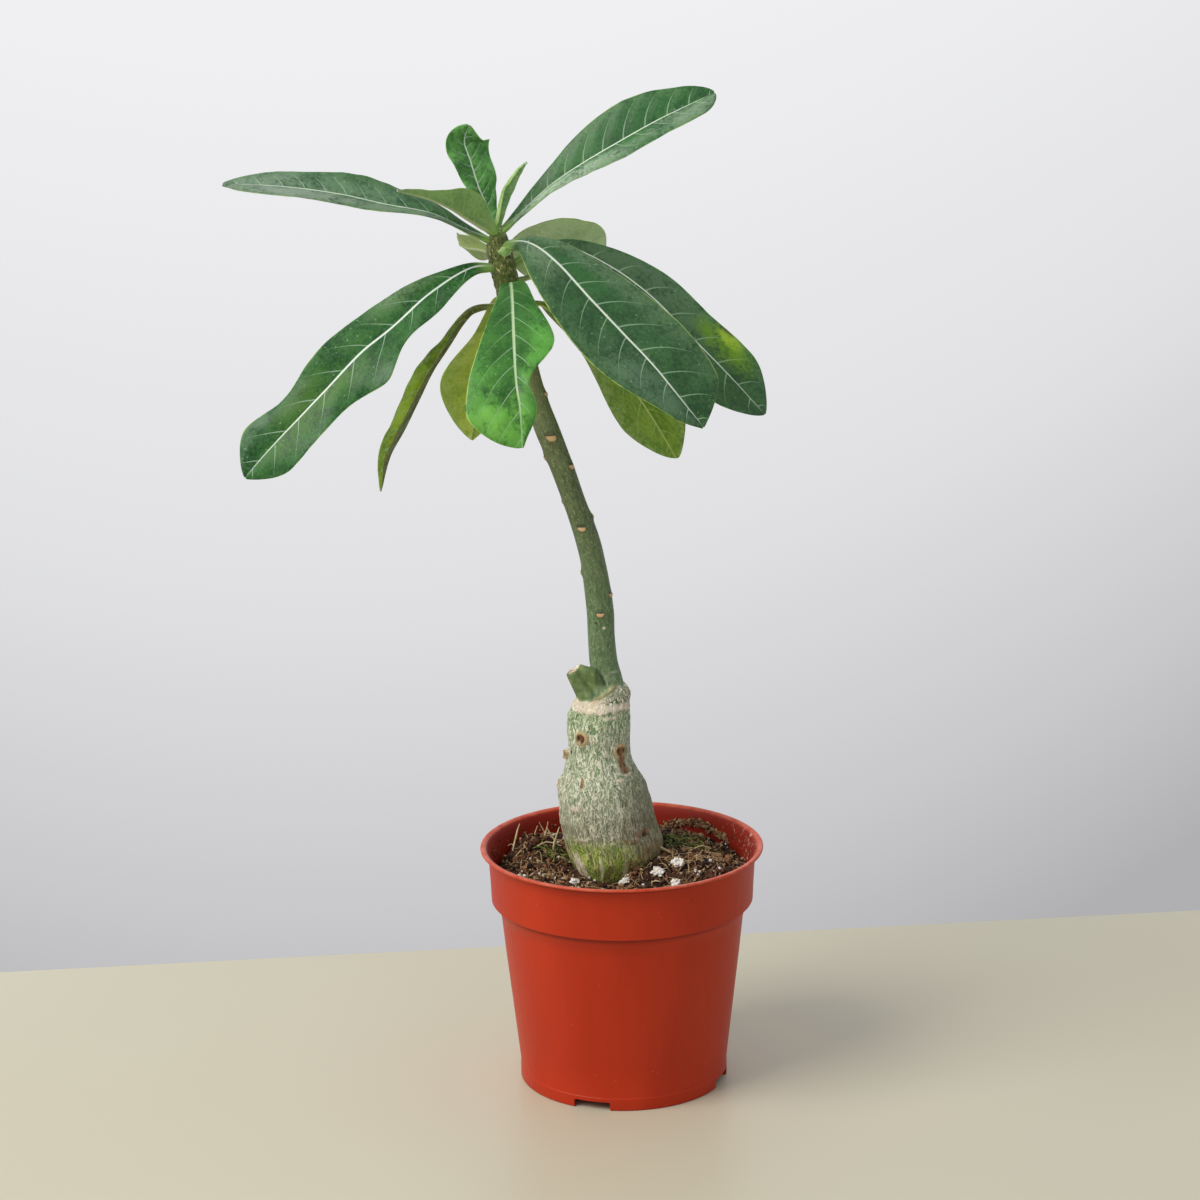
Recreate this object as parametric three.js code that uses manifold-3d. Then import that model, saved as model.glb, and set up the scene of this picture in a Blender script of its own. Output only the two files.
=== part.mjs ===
// A young desert rose in a small nursery pot: swollen trunk with one leaning stem and a whorl of leaves.
// Millimetres, +Z up. The origin is the centre of the pot's underside, where the pot stands.
// The viewer stands at -Y, so +X is to the right and +Y goes away.

import * as THREE from 'three';
import Module from 'manifold-3d';
import { mergeVertices } from 'three/addons/utils/BufferGeometryUtils.js';

const wasm = await Module();
wasm.setup();

// ---- driving dimensions ----

const seat = 0.3;                 // gap left between two pieces that touch
const potSides = 64;
const rimRadius = 55;             // outside of the lip, an 11 cm pot
const potHeight = 94.3;
const lipWidth = 2.6;
const lipThickness = 1.2;
const bandTopRadius = 51.9;       // the collar just under the lip
const bandBottomRadius = 50.8;
const bandBottomZ = 73.2;
const stepDrop = 4.7;             // height of the rounded step under the collar
const wallTopRadius = 46.5;
const wallBottomRadius = 40.2;
const wallThickness = 1.2;
const footRadius = 40.4;
const footSeamZ = 5;
const footWidth = 2.4;
const floorUnderZ = 3.5;
const floorThickness = 1.2;
const bossRadius = 7;             // moulding boss under the floor, level with the foot
const notchCount = 4;
const notchFirstAngle = -108;     // degrees from +X
const notchWidth = 14.5;
const notchHeight = 3.4;
const notchLength = 14.4;         // radial length of the cut, from inside the foot to outside it
const drainCount = 8;
const drainRadius = 1.8;
const drainCircle = 27;
const drainSides = 12;

const soilFrontZ = 82.3;
const soilRise = 6;               // how much higher the soil lies behind and right of the trunk
const soilEdgeDrop = 3;           // it sinks towards the wall on that side
const soilSides = 40;
const soilSteps = 8;

const trunkSides = 20;
const trunkDepth = 6;             // the trunk and the stem stand this far behind the pot's centre

const leafSteps = 13;
const tipCrowding = 1.35;         // stations stand closer together towards the tip
const lastStation = 0.997;        // the tip is closed just short of the midrib's end
const foldBegins = 0.12;          // share of the length over which a petiole opens into its folded blade
const petioleEnds = 0.2;          // share of the length over which it thins to the blade
const petioleThickness = 2.2;
const petioleSlant = 0.2;         // extra room for a petiole that meets the stem at a slant
const bladeThickness = 0.9;
const edgeThickness = 0.5;

// ---- the trunk and the stem, from the root's tip to the crown: height, place in X, radius ----

const trunkStations = [
  [32, -2, 1.5], [45, -2.5, 4], [58, -3, 7], [68, -3.5, 10], [77, -3.8, 12.8], [83, -3.2, 16],
  [88.5, -2.9, 18.5], [93.5, -3.4, 19], [98, -4.5, 18.8], [103.5, -5.8, 18.6], [109, -6.3, 18.1],
  [114, -7.1, 17.4], [118.5, -7.5, 16.2], [122.5, -8, 14.4], [126.5, -8.5, 12.8], [131.5, -8.6, 11.9],
  [138.5, -8.6, 12.2], [144, -8.6, 12.1], [148, -8, 11.2], [151.5, -6.8, 9.4], [154.5, -5.6, 7.4],
  [160, -5.1, 5.9], [167, -6.3, 5.4], [177, -7, 5.2], [186, -7.3, 5.2], [196, -8.4, 5], [205, -9.8, 4.8],
  [214.5, -12, 4.8], [224, -15, 4.6], [233, -18.1, 4.5], [246, -22.6, 4.7], [257.5, -26.8, 4.9],
  [266, -29.6, 4.4], [275, -32.2, 4.1], [285, -34.5, 4.2], [295, -36.9, 4.3], [305, -39.2, 4.5],
  [312, -40.8, 4.7], [318, -42, 4.8], [323, -43.1, 4.7], [327, -43.8, 4.3], [330.5, -43.7, 3.3],
  [333, -43.6, 2],
];

// the pruned branch: x, y, z, radius along it, from inside the trunk to the dried cut
const stubStations = [
  [-7, 6, 145, 6.5], [-9.5, 5.6, 150, 7], [-11.7, 5, 153.5, 6.4], [-13.8, 4.6, 156.5, 5.4],
  [-15.8, 4.2, 159.2, 4.6], [-17.3, 3.9, 161.2, 4],
];

// ---- the leaves ----
// rows: x, y, z of the midrib, then the half widths to its left and right, from the stem to the tip.
// The first row's height says where the leaf leaves the stem, and seatOnStem sets its x and y.
// facing: the way the upper side looks at the stem, and at the tip. fold: how far each half is raised.

const leaves = [
  {
    name: 'leaf_left_long',
    rows: [
      [-49, 5.5, 327, 1.5, 1.5], [-56, 2, 333.5, 3.2, 3.2], [-68, -4, 340, 6, 7], [-85, -8, 344, 8, 10.5],
      [-101, -10, 348, 9, 10.5], [-122, -10, 351, 10, 8], [-144, -8, 352, 7, 5],
    ],
    facing: [[-0.1, -0.45, 0.87], [0, -0.5, 0.87]],
    fold: 18,
    colour: 0x46684a,
  },
  {
    name: 'leaf_left_wavy',
    rows: [
      [-46, 2, 319, 1.5, 1.5], [-55, -3, 319, 4, 3], [-69, -9, 311, 8, 7], [-82, -15, 300, 10, 12],
      [-94, -20, 291, 16, 12.5], [-105, -24, 280, 11, 12], [-116, -27, 269, 12, 10],
      [-127, -30, 258, 12, 12], [-137, -31, 247, 7, 8],
    ],
    facing: [[-0.2, -0.75, 0.6], [-0.15, -0.9, 0.4]],
    fold: 8,
    colour: 0x2f6034,
  },
  {
    name: 'leaf_left_drooping',
    rows: [
      [-46, 3, 305, 1.5, 1.5], [-52, 0, 304, 2.2, 2.2], [-57, -3, 300, 3.2, 3.2], [-63, -5, 291, 4.2, 4.2],
      [-69, -6, 282, 6, 6], [-74, -6, 272, 7.5, 7.5], [-80, -5, 260, 7, 7], [-86, -3, 249, 5.5, 5.5],
      [-90, 0, 235, 1.5, 1.5],
    ],
    facing: [[-0.75, -0.3, 0.6], [-0.85, -0.4, 0.35]],
    fold: 35,
    colour: 0x5d7a2a,
  },
  {
    name: 'leaf_back_low_left',
    rows: [
      [-43, 11, 309, 1.5, 1.5], [-45, 19, 303, 3, 3], [-50, 32, 287, 6, 8], [-54, 46, 268, 15, 14],
      [-58, 56, 244, 12, 9],
    ],
    facing: [[0, 0.6, 0.8], [0, 0.85, 0.5]],
    fold: 6,
    colour: 0x8a8f42,
  },
  {
    name: 'leaf_front',
    rows: [
      [-40, 2, 310, 2, 2], [-39, -6, 314, 5, 4], [-38, -22, 310, 8, 6], [-37, -40, 300, 14.5, 12],
      [-36, -54, 286, 5.5, 17.5], [-34, -60, 276, 4, 19.5], [-32, -62, 263, 3.5, 15],
    ],
    facing: [[0, -0.5, 0.85], [0, -0.85, 0.5], [0.05, -0.95, 0.35]],
    fold: 6,
    colour: 0x3f8c34,
  },
  {
    name: 'leaf_right_front',
    rows: [
      [-40, 3, 327, 1.5, 1.5], [-32, -6, 329, 4, 6], [-22, -14, 323, 10, 13], [-10, -23, 311, 15.5, 17],
      [2, -30, 299, 18, 18.5], [13, -36, 288, 19, 16], [23, -40, 276, 17.5, 8], [31, -42, 266, 11, 4],
    ],
    facing: [[0.2, -0.7, 0.6], [0.25, -0.85, 0.45]],
    fold: 8,
    colour: 0x35603f,
  },
  {
    name: 'leaf_right_behind',
    rows: [
      [-37, 8, 318, 1.5, 1.5], [-29, 10, 324, 1.5, 1.5], [-19, 10, 326, 3, 4], [-2, 9, 318, 8, 10],
      [13, 7, 307, 12, 13], [27, 3, 293, 12, 13], [42, -2, 278, 13, 14], [55, -6, 264, 9, 10],
    ],
    facing: [[0.2, -0.6, 0.7], [0.3, -0.85, 0.5]],
    fold: 8,
    colour: 0x365f3c,
  },
  {
    name: 'leaf_right_low',
    rows: [
      [-35, 8, 304, 1.5, 1.5], [-29, 11, 304.5, 2, 2], [-23, 15, 300, 4, 4], [-10, 21, 289, 10, 10],
      [1, 26, 276, 15, 15], [13, 31, 258, 18, 15], [23, 34, 240, 13, 8],
    ],
    facing: [[0.35, 0.5, 0.75], [0.35, 0.75, 0.5]],
    fold: 6,
    colour: 0x4f6a22,
  },
  {
    name: 'leaf_upper_right',
    rows: [
      [-41, 5, 331, 1.5, 1.5], [-35, 4, 339, 3, 3.3], [-24, 3, 349, 6, 6.3], [-12, 3, 357, 10.5, 9],
      [2, 3, 365, 13.5, 11.5], [15, 4, 372, 13, 11.5], [28, 6, 378, 8.5, 10.5], [37, 8, 382, 4.5, 7.5],
    ],
    facing: [[-0.4, -0.62, 0.75], [-0.4, -0.85, 0.6]],
    fold: 22,
    colour: 0x3c7a42,
  },
  {
    name: 'leaf_back_right',
    rows: [
      [-40, 9, 325, 1.5, 1.5], [-35, 15, 325, 8, 9], [-25, 30, 321, 13, 14.5], [-14, 44, 317, 13, 15.5],
      [-4, 57, 319, 8, 14],
    ],
    facing: [[-0.7, 0.55, 0.45], [-0.7, 0.55, 0.45]],
    fold: 8,
    colour: 0x7b8f5e,
  },
  {
    name: 'leaf_young_upright',
    rows: [
      [-44, 8, 330, 1.2, 1.2], [-48, 10.5, 341, 2.5, 4], [-51, 11, 348, 4.5, 7.5], [-54, 12, 358, 7, 8],
      [-56, 12, 365, 7.5, 9.5], [-54, 10, 371, 5, 5],
    ],
    facing: [[0.3, -0.9, 0.3], [0.2, -0.95, 0.2]],
    fold: 12,
    colour: 0x3f8a3f,
  },
  {
    name: 'leaf_young_narrow',
    rows: [
      [-43.2, 5, 332, 0.8, 0.8], [-43.2, 3.5, 339, 2.4, 2.4], [-41.5, 3.4, 346.5, 3.2, 3.2],
      [-39, 3, 351, 3, 3], [-36, 2, 355, 2, 2], [-32.5, 1, 358, 0.8, 0.8],
    ],
    facing: [[0.7, -0.6, 0.1], [0.7, -0.6, 0.1]],
    fold: 50,
    colour: 0x6f9a4c,
  },
  {
    name: 'leaf_front_left_folded',
    rows: [
      [-46, 2, 330.5, 1.8, 1.8], [-54, -6, 338, 9.5, 8.5], [-60, -14, 343, 10.5, 8.5], [-68, -24, 348, 3.5, 3],
      [-78, -36, 352, 1.5, 1.5],
    ],
    facing: [[0.1, 0.3, 0.95], [0.1, 0.3, 0.95]],
    fold: 50,
    colour: 0x7d9163,
  },
  {
    name: 'leaf_back_left_small',
    rows: [[-48, 10, 324, 1.5, 1.5], [-52, 21, 324, 6, 6], [-56, 32, 323, 7.5, 8], [-60, 42, 323, 5, 6]],
    facing: [[0.5, 0.6, 0.6], [0.5, 0.6, 0.6]],
    fold: 8,
    colour: 0x7d8c5a,
  },
  {
    name: 'leaf_right_hidden',
    rows: [
      [-37, 9, 313, 1.5, 1.5], [-30, 16, 314, 2.5, 2.5], [-16, 32, 311, 9, 9], [0, 48, 301, 12, 12],
      [12, 60, 287, 8, 8],
    ],
    facing: [[-0.3, 0.3, 0.9], [0.2, 0.5, 0.8]],
    fold: 8,
    colour: 0x55702f,
  },
];

// ---- the larger perlite grains that lie on the soil: x, y, diameter, turn in degrees ----

const grains = [
  { name: 'perlite_grain_front', x: 14, y: -13, size: 4.8, turn: 20 },
  { name: 'perlite_grain_right', x: 21.5, y: -8, size: 4.6, turn: 75 },
  { name: 'perlite_grain_rim', x: 20.5, y: -23, size: 3.4, turn: 130 },
  { name: 'perlite_grain_root', x: 1.5, y: -14.5, size: 3.2, turn: 200 },
  { name: 'perlite_grain_left', x: -18.5, y: -14.5, size: 3.2, turn: 310 },
];

// ---- shared helpers ----

function rad(degrees) {
  return THREE.MathUtils.degToRad(degrees);
}

function finish(name, geometry, colour, roughness) {
  const material = new THREE.MeshStandardMaterial({ color: colour, roughness, metalness: 0 });
  const mesh = new THREE.Mesh(geometry, material);
  mesh.name = name;
  return mesh;
}

// Joins rings of equal point count into one closed body. A cap is a fan, or a ladder on a flat thin ring.
function loft(rings, ladder = false) {
  const count = rings[0].length;
  const positions = rings.flat().flatMap((p) => [p.x, p.y, p.z]);
  const index = [];
  for (let i = 0; i < rings.length - 1; i += 1) {
    for (let j = 0; j < count; j += 1) {
      const a = i * count + j;
      const b = i * count + ((j + 1) % count);
      index.push(a, b, b + count, a, b + count, a + count);
    }
  }
  const cap = (ring, first, flip) => {
    const push = (a, b, c) => (flip ? index.push(a, b, c) : index.push(a, c, b));
    if (ladder) {
      for (let j = 0; j < count / 2 - 1; j += 1) {
        const opposite = count - 1 - j;
        push(first + j, first + j + 1, first + opposite - 1);
        push(first + j, first + opposite - 1, first + opposite);
      }
      return;
    }
    const middle = ring.reduce((sum, p) => sum.add(p), new THREE.Vector3()).divideScalar(count);
    const centre = positions.push(middle.x, middle.y, middle.z) / 3 - 1;
    for (let j = 0; j < count; j += 1) {
      push(centre, first + j, first + ((j + 1) % count));
    }
  };
  cap(rings[0], 0, false);
  cap(rings.at(-1), (rings.length - 1) * count, true);
  const geometry = new THREE.BufferGeometry();
  geometry.setAttribute('position', new THREE.Float32BufferAttribute(positions, 3));
  geometry.setIndex(volume(positions, index) < 0 ? index.reverse() : index);
  return geometry;
}

function volume(positions, index) {
  const at = (i) => new THREE.Vector3().fromArray(positions, index[i] * 3);
  let sum = 0;
  for (let i = 0; i < index.length; i += 3) {
    sum += at(i).dot(at(i + 1).cross(at(i + 2)));
  }
  return sum / 6;
}

function toSolid(geometry) {
  const bare = geometry.clone();
  bare.deleteAttribute('normal');
  bare.deleteAttribute('uv');
  const merged = mergeVertices(bare, 1e-4);
  return new wasm.Manifold(new wasm.Mesh({
    numProp: 3,
    vertProperties: new Float32Array(merged.attributes.position.array),
    triVerts: new Uint32Array(merged.index.array),
  }));
}

function fromSolid(solid) {
  const mesh = solid.getMesh();
  const geometry = new THREE.BufferGeometry();
  geometry.setAttribute('position', new THREE.BufferAttribute(mesh.vertProperties, mesh.numProp));
  geometry.setIndex(new THREE.BufferAttribute(mesh.triVerts, 1));
  return geometry;
}

// A smooth value between the rows of a list, with u from 0 at the first row to 1 at the last.
function between(rows, u) {
  const last = rows.length - 1;
  const i = Math.min(Math.floor(u * last), last - 1);
  const f = u * last - i;
  return rows[i].map((_, k) => {
    const p1 = rows[i][k];
    const p2 = rows[i + 1][k];
    const p0 = i > 0 ? rows[i - 1][k] : 2 * p1 - p2;
    const p3 = i < last - 1 ? rows[i + 2][k] : 2 * p2 - p1;
    const m1 = (p2 - p0) / 2;
    const m2 = (p3 - p1) / 2;
    return p1 + m1 * f + (3 * (p2 - p1) - 2 * m1 - m2) * f ** 2 + (2 * (p1 - p2) + m1 + m2) * f ** 3;
  });
}

// ---- pot ----

function potProfile() {
  const innerBand = bandTopRadius - wallThickness;
  const innerStep = wallTopRadius - wallThickness;
  const lipInner = rimRadius - lipWidth;
  const outer = [
    [0, 0], [bossRadius, 0], [bossRadius + 0.5, floorUnderZ],
    [footRadius - footWidth, floorUnderZ], [footRadius - footWidth, 0],
    [footRadius - 0.3, 0], [footRadius, 0.4], [footRadius, footSeamZ],
    [wallBottomRadius, footSeamZ + 0.2],
  ];
  const step = [];
  for (let angle = -90; angle <= 0; angle += 22.5) {
    step.push([
      wallTopRadius + (bandBottomRadius - wallTopRadius) * Math.cos(rad(angle)),
      bandBottomZ + stepDrop * Math.sin(rad(angle)),
    ]);
  }
  const lipUnder = potHeight - lipThickness;
  const lip = [
    [bandTopRadius, lipUnder - 0.8], [bandTopRadius + 0.6, lipUnder], [rimRadius - 0.3, lipUnder + 0.1],
    [rimRadius, lipUnder + 0.5], [rimRadius, potHeight - 0.4], [rimRadius - 0.4, potHeight],
    [lipInner, potHeight], [lipInner - 0.8, potHeight - 0.4],
  ];
  const inner = [
    [innerBand, lipUnder - 0.8], [bandBottomRadius - wallThickness, bandBottomZ],
    [innerStep, bandBottomZ - stepDrop], [wallBottomRadius - wallThickness, floorUnderZ + floorThickness + 1],
    [wallBottomRadius - wallThickness - 1, floorUnderZ + floorThickness], [0, floorUnderZ + floorThickness],
  ];
  return { outer: [...outer, ...step, ...lip], inner };
}

function buildPot() {
  const { outer, inner } = potProfile();
  const profile = [...outer, ...inner].map(([r, z]) => new THREE.Vector2(r, z));
  let solid = toSolid(new THREE.LatheGeometry(profile, potSides).rotateX(Math.PI / 2));
  if (solid.volume() < 0) {
    solid = toSolid(new THREE.LatheGeometry(profile.reverse(), potSides).rotateX(Math.PI / 2));
  }
  for (let i = 0; i < notchCount; i += 1) {
    const notch = new THREE.BoxGeometry(notchLength, notchWidth, notchHeight * 2);
    notch.translate(footRadius - footWidth / 2, 0, 0);
    notch.rotateZ(rad(notchFirstAngle + i * 360 / notchCount));
    solid = solid.subtract(toSolid(notch));
  }
  for (let i = 0; i < drainCount; i += 1) {
    const drain = new THREE.CylinderGeometry(drainRadius, drainRadius, floorThickness * 4, drainSides);
    drain.rotateX(Math.PI / 2);
    drain.translate(drainCircle, 0, floorUnderZ + floorThickness / 2);
    drain.rotateZ(rad(notchFirstAngle + i * 360 / drainCount));
    solid = solid.subtract(toSolid(drain));
  }
  return finish('pot', fromSolid(solid), 0xc2452b, 0.45);
}

// ---- trunk, stem and pruned stub, grown in one piece ----

function trunkRing([z, x, radius], grow) {
  const ring = [];
  const flare = THREE.MathUtils.clamp((110 - z) / 30, 0, 1) * 0.06;
  for (let j = 0; j < trunkSides; j += 1) {
    const angle = (j / trunkSides) * 2 * Math.PI;
    const lobes = 1 + flare * Math.sin(3 * angle + 0.7) + 0.015 * Math.sin(5 * angle + z / 17);
    const r = radius * lobes + grow;
    ring.push(new THREE.Vector3(x + r * Math.cos(angle), trunkDepth + r * Math.sin(angle), z));
  }
  return ring;
}

function trunkSolid(grow) {
  const stations = trunkStations.map((row) => [...row]);
  stations[0][0] -= grow;
  return toSolid(loft(stations.map((row) => trunkRing(row, grow))));
}

function stubSolid() {
  const centres = stubStations.map(([x, y, z]) => new THREE.Vector3(x, y, z));
  const rings = stubStations.map(([, , , radius], i) => {
    const ahead = centres[Math.min(i + 1, centres.length - 1)];
    const along = ahead.clone().sub(centres[Math.max(i - 1, 0)]).normalize();
    const side = new THREE.Vector3(0, 1, 0).cross(along).normalize();
    const up = along.clone().cross(side);
    const ring = [];
    for (let j = 0; j < trunkSides; j += 1) {
      const angle = (j / trunkSides) * 2 * Math.PI;
      ring.push(centres[i].clone()
        .addScaledVector(side, radius * Math.cos(angle))
        .addScaledVector(up, radius * Math.sin(angle)));
    }
    return ring;
  });
  return toSolid(loft(rings));
}

function buildTrunk() {
  const solid = trunkSolid(0).add(stubSolid());
  return finish('trunk_and_stem', fromSolid(solid), 0x8f9a80, 0.85);
}

function stemAt(z) {
  const above = trunkStations.findIndex((row) => row[0] > z);
  const i = above < 0 ? trunkStations.length - 2 : above - 1;
  const [low, high] = [trunkStations[i], trunkStations[i + 1]];
  const f = (z - low[0]) / (high[0] - low[0]);
  return { x: THREE.MathUtils.lerp(low[1], high[1], f), radius: THREE.MathUtils.lerp(low[2], high[2], f) };
}

// ---- soil ----

function soilTop(x, y) {
  const behind = THREE.MathUtils.smoothstep(0.75 * x + 0.66 * y, -8, 22);
  const radius = Math.hypot(x, y);
  const edge = THREE.MathUtils.smoothstep(radius, 33, 49);
  const ripple = 0.4 * Math.sin(x / 3.1) * Math.cos(y / 3.7);
  return soilFrontZ + behind * (soilRise - edge * soilEdgeDrop) + ripple;
}

function soilRing(radius, height) {
  const ring = [];
  for (let j = 0; j < soilSides; j += 1) {
    const angle = (j / soilSides) * 2 * Math.PI;
    const x = radius * Math.cos(angle);
    const y = radius * Math.sin(angle);
    ring.push(new THREE.Vector3(x, y, height === undefined ? soilTop(x, y) : height));
  }
  return ring;
}

function buildSoil(pocket) {
  const floorZ = floorUnderZ + floorThickness + seat;
  const stepZ = bandBottomZ - stepDrop;
  const bottomRadius = wallBottomRadius - wallThickness - seat;
  const stepRadius = wallTopRadius - wallThickness - seat;
  const bandRadius = bandBottomRadius - wallThickness - seat;
  const rings = [
    soilRing(bottomRadius - 1.4, floorZ), soilRing(bottomRadius, floorZ + 1.4), soilRing(stepRadius, stepZ),
    soilRing(bandRadius, bandBottomZ + seat),
  ];
  for (let i = soilSteps; i > 0; i -= 1) {
    rings.push(soilRing(bandRadius * i / soilSteps));
  }
  const solid = toSolid(loft(rings)).subtract(pocket);
  return finish('soil', fromSolid(solid), 0x4a3328, 0.95);
}

// ---- leaves ----

function leafStation(leaf, u) {
  const [x, y, z, left, right] = between(leaf.rows, u);
  const before = new THREE.Vector3(...between(leaf.rows, Math.max(u - 0.001, 0)));
  const along = new THREE.Vector3(...between(leaf.rows, Math.min(u + 0.001, 1))).sub(before).normalize();
  const up = new THREE.Vector3(...between(leaf.facing, u));
  up.addScaledVector(along, -up.dot(along)).normalize();
  return { middle: new THREE.Vector3(x, y, z), up, side: along.clone().cross(up), left, right };
}

// Closes the blade with a round end over the last stretch of the midrib.
function tipFactor(leaf, u) {
  const stretch = 1 / (leaf.rows.length - 1);
  const t = Math.max(0, (u - 1 + stretch) / stretch);
  return Math.sqrt(1 - t ** 2);
}

function insideStem(point, grow) {
  const top = trunkStations.at(-1)[0];
  const stem = stemAt(Math.min(point.z, top - 0.01));
  return point.z < top + grow && Math.hypot(point.x - stem.x, point.y - trunkDepth) < stem.radius + grow;
}

// Starts the midrib on the stem's skin, so that the petiole meets it.
function seatOnStem(leaf) {
  const [first, second] = leaf.rows;
  const start = new THREE.Vector3(stemAt(first[2]).x, trunkDepth, first[2]);
  const stride = new THREE.Vector3(...second).sub(start).setLength(0.05);
  while (insideStem(start, seat + petioleSlant)) {
    start.add(stride);
  }
  return { ...leaf, rows: [[...start.toArray(), first[3], first[4]], ...leaf.rows.slice(1)] };
}

function buildLeaf(leaf) {
  const seated = seatOnStem(leaf);
  const rings = [];
  for (let i = 0; i <= leafSteps; i += 1) {
    const u = Math.min(1 - (1 - i / leafSteps) ** tipCrowding, lastStation);
    const { middle, up, side, left, right } = leafStation(seated, u);
    const closing = tipFactor(seated, u);
    const fold = rad(leaf.fold) * THREE.MathUtils.smoothstep(u, 0, foldBegins);
    const petiole = Math.min(petioleThickness, 1.5 * leaf.rows[0][3]);
    const thick = THREE.MathUtils.lerp(petiole, bladeThickness, THREE.MathUtils.smoothstep(u, 0, petioleEnds));
    const top = [];
    const bottom = [];
    for (const across of [-1, -0.5, 0, 0.5, 1]) {
      const reach = Math.abs(across) * closing * (across < 0 ? left : right);
      const point = middle.clone()
        .addScaledVector(side, Math.sign(across) * reach * Math.cos(fold))
        .addScaledVector(up, reach * Math.sin(fold));
      const half = THREE.MathUtils.lerp(thick, edgeThickness, across ** 2) / 2;
      top.push(point.clone().addScaledVector(up, half));
      bottom.unshift(point.clone().addScaledVector(up, -half));
    }
    rings.push([...top, ...bottom]);
  }
  return finish(leaf.name, loft(rings, true), leaf.colour, 0.5);
}

// ---- side bud on the stem's front, just under the crown ----

function buildBud() {
  const budRadius = 1.9;
  const budHeight = 4.6;
  const budZ = 321.5;
  const lean = rad(-92);
  const geometry = new THREE.SphereGeometry(budRadius, 8, 6);
  geometry.scale(1, 0.8, budHeight / (2 * budRadius));
  geometry.rotateX(rad(35));
  const stem = stemAt(budZ);
  const reach = stem.radius + seat + budRadius + 0.05;
  geometry.translate(stem.x + reach * Math.cos(lean), trunkDepth + reach * Math.sin(lean), budZ + 1);
  return finish('side_bud', fromSolid(toSolid(geometry)), 0x8fbf6a, 0.6);
}

// ---- perlite ----

function buildGrain({ name, x, y, size, turn }) {
  const geometry = new THREE.IcosahedronGeometry(size / 2, 1);
  const position = geometry.attributes.position;
  for (let i = 0; i < position.count; i += 1) {
    const p = new THREE.Vector3().fromBufferAttribute(position, i);
    p.multiplyScalar(1 + 0.12 * Math.sin(p.x * 2.3 + turn) * Math.cos(p.y * 1.9 - p.z * 1.3));
    position.setXYZ(i, p.x, p.y, p.z * 0.8);
  }
  geometry.rotateZ(rad(turn));
  geometry.computeBoundingBox();
  const ground = Math.max(...[-1, 0, 1].flatMap((a) => [-1, 0, 1].map((b) => soilTop(x + a, y + b))));
  geometry.translate(x, y, ground + seat - geometry.boundingBox.min.z);
  return finish(name, fromSolid(toSolid(geometry)), 0xf2f0ec, 0.9);
}

// ---- the whole plant ----

const plant = new THREE.Group();
plant.add(buildPot());
plant.add(buildSoil(trunkSolid(seat)));
plant.add(buildTrunk());
plant.add(buildBud());
for (const leaf of leaves) {
  plant.add(buildLeaf(leaf));
}
for (const grain of grains) {
  plant.add(buildGrain(grain));
}

export default plant;
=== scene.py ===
# A young desert rose in its nursery pot: the looks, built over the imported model.
import math
import random
from functools import partial
import bmesh
import bpy
import numpy as np
from mathutils import Euler, Matrix, Vector, noise


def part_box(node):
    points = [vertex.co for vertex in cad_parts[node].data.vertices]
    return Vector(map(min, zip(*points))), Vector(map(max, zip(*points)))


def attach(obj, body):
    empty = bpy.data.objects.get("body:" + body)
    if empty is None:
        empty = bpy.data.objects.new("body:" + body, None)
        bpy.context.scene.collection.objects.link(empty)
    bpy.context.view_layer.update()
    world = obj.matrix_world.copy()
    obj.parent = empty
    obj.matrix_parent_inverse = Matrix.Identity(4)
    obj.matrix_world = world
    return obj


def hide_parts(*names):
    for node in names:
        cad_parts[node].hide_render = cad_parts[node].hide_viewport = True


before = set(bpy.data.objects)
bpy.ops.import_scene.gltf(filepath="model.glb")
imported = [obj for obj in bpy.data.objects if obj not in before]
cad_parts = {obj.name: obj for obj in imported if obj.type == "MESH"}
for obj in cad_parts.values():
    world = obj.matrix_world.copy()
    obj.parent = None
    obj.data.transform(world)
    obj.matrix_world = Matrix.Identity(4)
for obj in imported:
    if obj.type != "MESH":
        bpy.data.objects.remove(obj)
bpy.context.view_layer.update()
scene = bpy.context.scene
mm = 0.001
# settings that many nodes share
product = {"operation": "MULTIPLY"}
soft = {"interpolation_type": "SMOOTHSTEP"}
print("frame loaded")


def linear(colour):
    # an sRGB hex colour as the linear values that the sockets take
    parts = [int(colour[i:i + 2], 16) / 255 for i in (1, 3, 5)]
    return [p / 12.92 if p <= 0.04045 else ((p + 0.055) / 1.055) ** 2.4 for p in parts] + [1.0]


def setInput(socket, value):
    # a value is a number, a vector, a hex colour, a node (its first live output) or an output
    if isinstance(value, bpy.types.Node):
        value = [s for s in value.outputs if s.enabled][0]
    if isinstance(value, bpy.types.NodeSocket):
        socket.id_data.links.new(value, socket)
    else:
        socket.default_value = linear(value) if isinstance(value, str) else value


def addNode(tree, kind, *values, stops=None, **named):
    # values fill the live inputs in order; a name with a capital is an input's, any other a setting's
    node = tree.nodes.new("ShaderNode" + kind)
    for name, value in named.items():
        if name[0].islower():
            setattr(node, name, value)
    if stops:
        ramp = node.color_ramp.elements
        for element, (place, colour) in zip(ramp, (stops[0], stops[-1])):
            element.position = place
            element.color = linear(colour)
        for place, colour in stops[1:-1]:
            ramp.new(place).color = linear(colour)
    for socket, value in zip([s for s in node.inputs if s.enabled], values):
        setInput(socket, value)
    for name, value in named.items():
        if name[0].isupper():
            setInput(node.inputs[name], value)
    return node


def newMaterial(name):
    # the material, and addNode for its own tree
    material = bpy.data.materials.new(name)
    material.use_nodes = True
    return material, partial(addNode, material.node_tree)


def setSurface(material, inputs):
    for name, value in inputs.items():
        setInput(material.node_tree.nodes["Principled BSDF"].inputs[name], value)
    return material


def deselectAll():
    for thing in list(bpy.context.selected_objects):
        thing.select_set(False)


def makeActive(thing):
    deselectAll()
    thing.select_set(True)
    bpy.context.view_layer.objects.active = thing


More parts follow.
